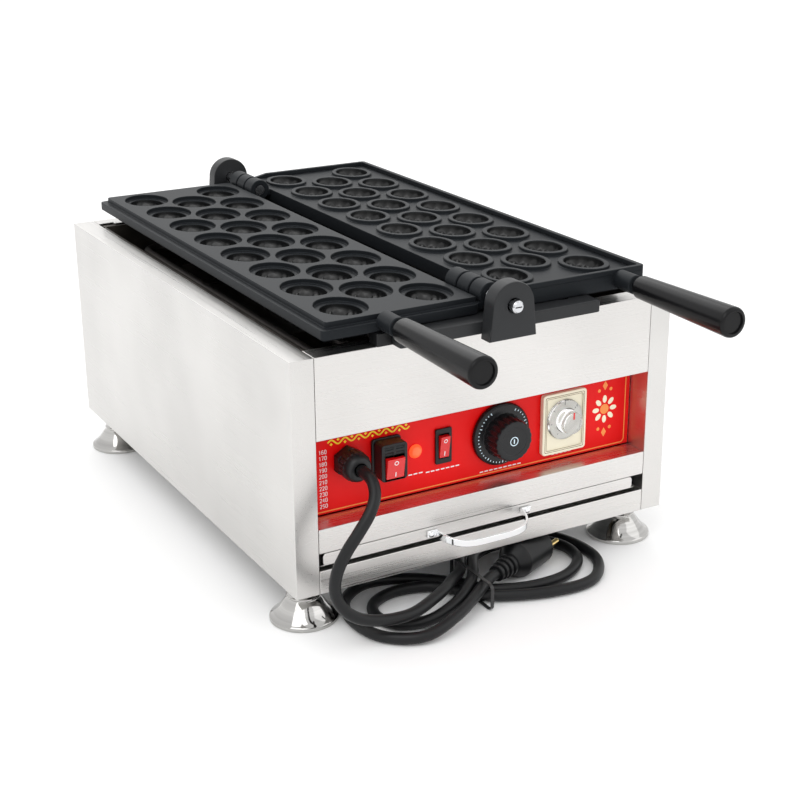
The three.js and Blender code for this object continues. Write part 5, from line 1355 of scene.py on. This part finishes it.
# Timer: a cream frame and a clear knob over a printed disc
TIMER = (84.2, 89.3 + FLOOR_Z)
TIMER_KNOB = (TIMER[0], TIMER[1] + 2.6)
TIMER_FRONT = STAND_ON - 4.6
WELL_Y = TIMER_FRONT + 1.4
KNOB_BACK = WELL_Y - GAP
KNOB_LENGTH = 14
SHAFT_R = 3
SHAFT_LENGTH = 9.6
TICKS = 7
TICK_START = -150
TICK_STEP = 50
softened("timer_housing", 0.6, "cream", segments=3)
low, high = (Vector(corner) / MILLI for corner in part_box("timer_housing"))
frames = []
for inset, width in ((2.2, 0.45), (3.6, 0.3)):
    edges = low[0] + inset, high[0] - inset, low[2] + inset, high[2] - inset
    frames.append(
        frame_line(edges, width, (1.2, 0.9), 4, TIMER_FRONT + 0.04, TIMER_FRONT - 0.06)
    )
printed("timer_frames", frames, "brown_ink")
knob = [
    (NEAR_ZERO, -KNOB_LENGTH), (8.2, -KNOB_LENGTH), (8.9, -KNOB_LENGTH + 0.25),
    (9.4, -KNOB_LENGTH + 0.9), (9.9, -9), (10.4, -5), (11, -4), (12.2, -3.5), (15.8, -3),
    (16.8, -2.6), (17.4, -1.8), (17.5, -1), (17.5, -0.2), (17.2, 0), (SHAFT_R, 0),
    (SHAFT_R, SHAFT_LENGTH), (NEAR_ZERO, SHAFT_LENGTH),
]
knob = turned(knob, TIMER_KNOB, sides=72, at=KNOB_BACK)
piece("timer_knob_clear", knob, "clear", "timer_knob", ("timer_knob",), 30)
DISC_Y = WELL_Y - 0.12
disc = turned([(NEAR_ZERO, 0), (17, 0), (17, 0.1)], TIMER_KNOB, sides=72, at=DISC_Y)
piece("timer_disc", disc, "dial_white")
ticks = []
for step in range(TICKS):
    degrees = TICK_START + TICK_STEP * step
    ends = (polar(TIMER_KNOB, radius, degrees) for radius in (12.4, 14))
    ticks.append(flat_mark(bar_between(*ends, 0.4), DISC_Y, 0.05))
for step in range(1, TICKS):
    spot = polar(TIMER_KNOB, 15.4, TICK_START + TICK_STEP * step)
    ticks.append(number(str(step), spot, 2, DISC_Y))
printed("timer_scale", ticks, "dark_ink_and_slot_shade")
hand = bar_between(polar(TIMER_KNOB, 4, 0), polar(TIMER_KNOB, 10, 0), 1.6)
hand = flat_mark(hand, KNOB_BACK - KNOB_LENGTH + 0.01, 0.12)
piece("timer_hand", hand, "red_key", "timer_knob")


# Folded sheet metal and the heat chamber, with the soft edges of a bend
for node in ("left_side_panel", "right_side_panel", "back_panel"):
    softened(node, 0.5, "steel_side_painted_shade")
softened("base_pan", 0.45, "zinc")
for node in ("front_upper_panel", "front_rail", "front_sill", "control_panel"):
    softened(node, 0.5, "steel_front")
softened("fascia", 0.15, "red_film", segments=1)
softened("drip_tray", 0.45, "steel_front", "drip_tray")
softened("tray_runners", 0.4, "zinc")
for node in ("heating_chamber", "heater_supports"):
    softened(node, 0.4, "chamber_steel_painted_shade")
softened("terminal_block", 0.4, "cream")
softened("thermostat_body", 0.4, "zinc")
for node, finish in (("thermostat_bulb", "copper"), ("buzzer", "black")):
    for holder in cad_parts[node].material_slots:
        holder.material = looks[finish]


# Heaters: one serpentine rod a side
CHAMBER_HALF = 219
CHAMBER_DEPTH = 42
HEATER_LIFT = 20
HEATER_Z = TOP_Z - GAP - CHAMBER_DEPTH + HEATER_LIFT
HEATER_R = 3.9
HEATER_TAIL = -CHAMBER_HALF - 16
LEG_X = 29
BEND = 15.5
BEND_STEPS = 12
LEGS = 4
LEG_END = CHAMBER_HALF - 24 - BEND
heater_path = [Vector((LEG_X, HEATER_TAIL, HEATER_Z))]
for bend in range(LEGS - 1):
    way = 1 if bend % 2 == 0 else -1
    x = LEG_X + (2 * bend + 1) * BEND
    for i in range(BEND_STEPS + 1):
        angle = pi - pi * i / BEND_STEPS
        y = way * LEG_END + way * BEND * sin(angle)
        heater_path.append(Vector((x + BEND * cos(angle), y, HEATER_Z)))
heater_path.append(Vector((LEG_X + 2 * (LEGS - 1) * BEND, HEATER_TAIL, HEATER_Z)))
for side in ("left", "right"):
    tube = swept(heater_path, circle(HEATER_R, 20))
    if side == "left":
        tube.mirrored_x()
    piece(side + "_element", tube, "heater_steel", "cabinet", ("heater_" + side,), 40)


# Crumb tray's pull: a bowed strap on two screwed ears
PULL = (-60, 38)
PULL_Z = FLOOR_Z + 23.6 + 5.1
PULL_SEAT = -HALF_D - GAP - 1
PULL_REACH = 25
PULL_DROP = 4
PULL_STEPS = 48
pull_mid = sum(PULL) / 2
pull_half = (PULL[1] - PULL[0]) / 2 - 9
strap = [Vector((x, PULL_SEAT, PULL_Z)) for x in (PULL[0], PULL[0] + 5)]
for i in range(PULL_STEPS + 1):
    share = -cos(pi * i / PULL_STEPS)
    swell = sqrt(max(0, 1 - share**4))
    x = pull_mid + pull_half * share
    strap.append(Vector((x, PULL_SEAT - PULL_REACH * swell, PULL_Z - PULL_DROP * swell)))
strap += [Vector((x, PULL_SEAT, PULL_Z)) for x in (PULL[1] - 5, PULL[1])]
pull = swept(strap, rounded_box(-1, 1, -3, 3, 0.6, 4))
piece("tray_pull_strap", pull, "chrome", "drip_tray", ("drip_tray_pull",), 45)
screw = [(2.6, -0.9), (2.55, -1.5), (2.2, -2.1), (1.5, -2.5), (NEAR_ZERO, -2.65)]
for name, x in (("left", PULL[0] + 3.4), ("right", PULL[1] - 3.4)):
    head = turned(screw, (x, PULL_Z), sides=32, at=PULL_SEAT)
    piece("tray_pull_screw_" + name, head, "chrome", "drip_tray")


# Studio
STUDIO_WHITE = (0.96, 0.96, 0.96)
STUDIO_HALF = 6
WORLD_STRENGTH = 1.08
LIGHT_AIM = Vector((0, 0, 0.12))
# Name, watts, size and place of each light
LIGHTS = (
    ("key_light", 12, (1.6, 1.2), (-1.1, -0.9, 1.9)),
    ("fill_light", 5, (1.8, 1.4), (1.5, -1.3, 1.3)),
    ("back_light", 8, (1.8, 1.2), (0.3, 1.7, 1.6)),
)
floor_mesh = bpy.data.meshes.new("studio_floor")
floor_mesh.from_pydata(
    [(a * STUDIO_HALF, b * STUDIO_HALF, 0) for a, b in ((-1, -1), (1, -1), (1, 1), (-1, 1))], [],
    [(0, 1, 2, 3)],
)
studio_floor = linked("studio_floor", floor_mesh)
floor_mesh.materials.append(material("floor_paint", STUDIO_WHITE, 0.7))
studio_floor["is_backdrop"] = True
for name, power, size, spot in LIGHTS:
    light = linked(name, bpy.data.lights.new(name, "AREA"))
    light.data.shape = "RECTANGLE"
    light.data.size, light.data.size_y = size
    light.data.energy = power
    light.location = spot
    light.rotation_euler = (LIGHT_AIM - Vector(spot)).to_track_quat("-Z", "Y").to_euler()
world = bpy.data.worlds.new("studio")
world.use_nodes = True
set_inputs(world.node_tree.nodes["Background"], {"Color": (1, 1, 1, 1), "Strength": WORLD_STRENGTH})
bpy.context.scene.world = world
bpy.context.scene.view_settings.view_transform = "Standard"

visual_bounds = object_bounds()
rows = [[[round(float(v), 5) for v in corner] for corner in both] for both in (cad_bounds, visual_bounds)]
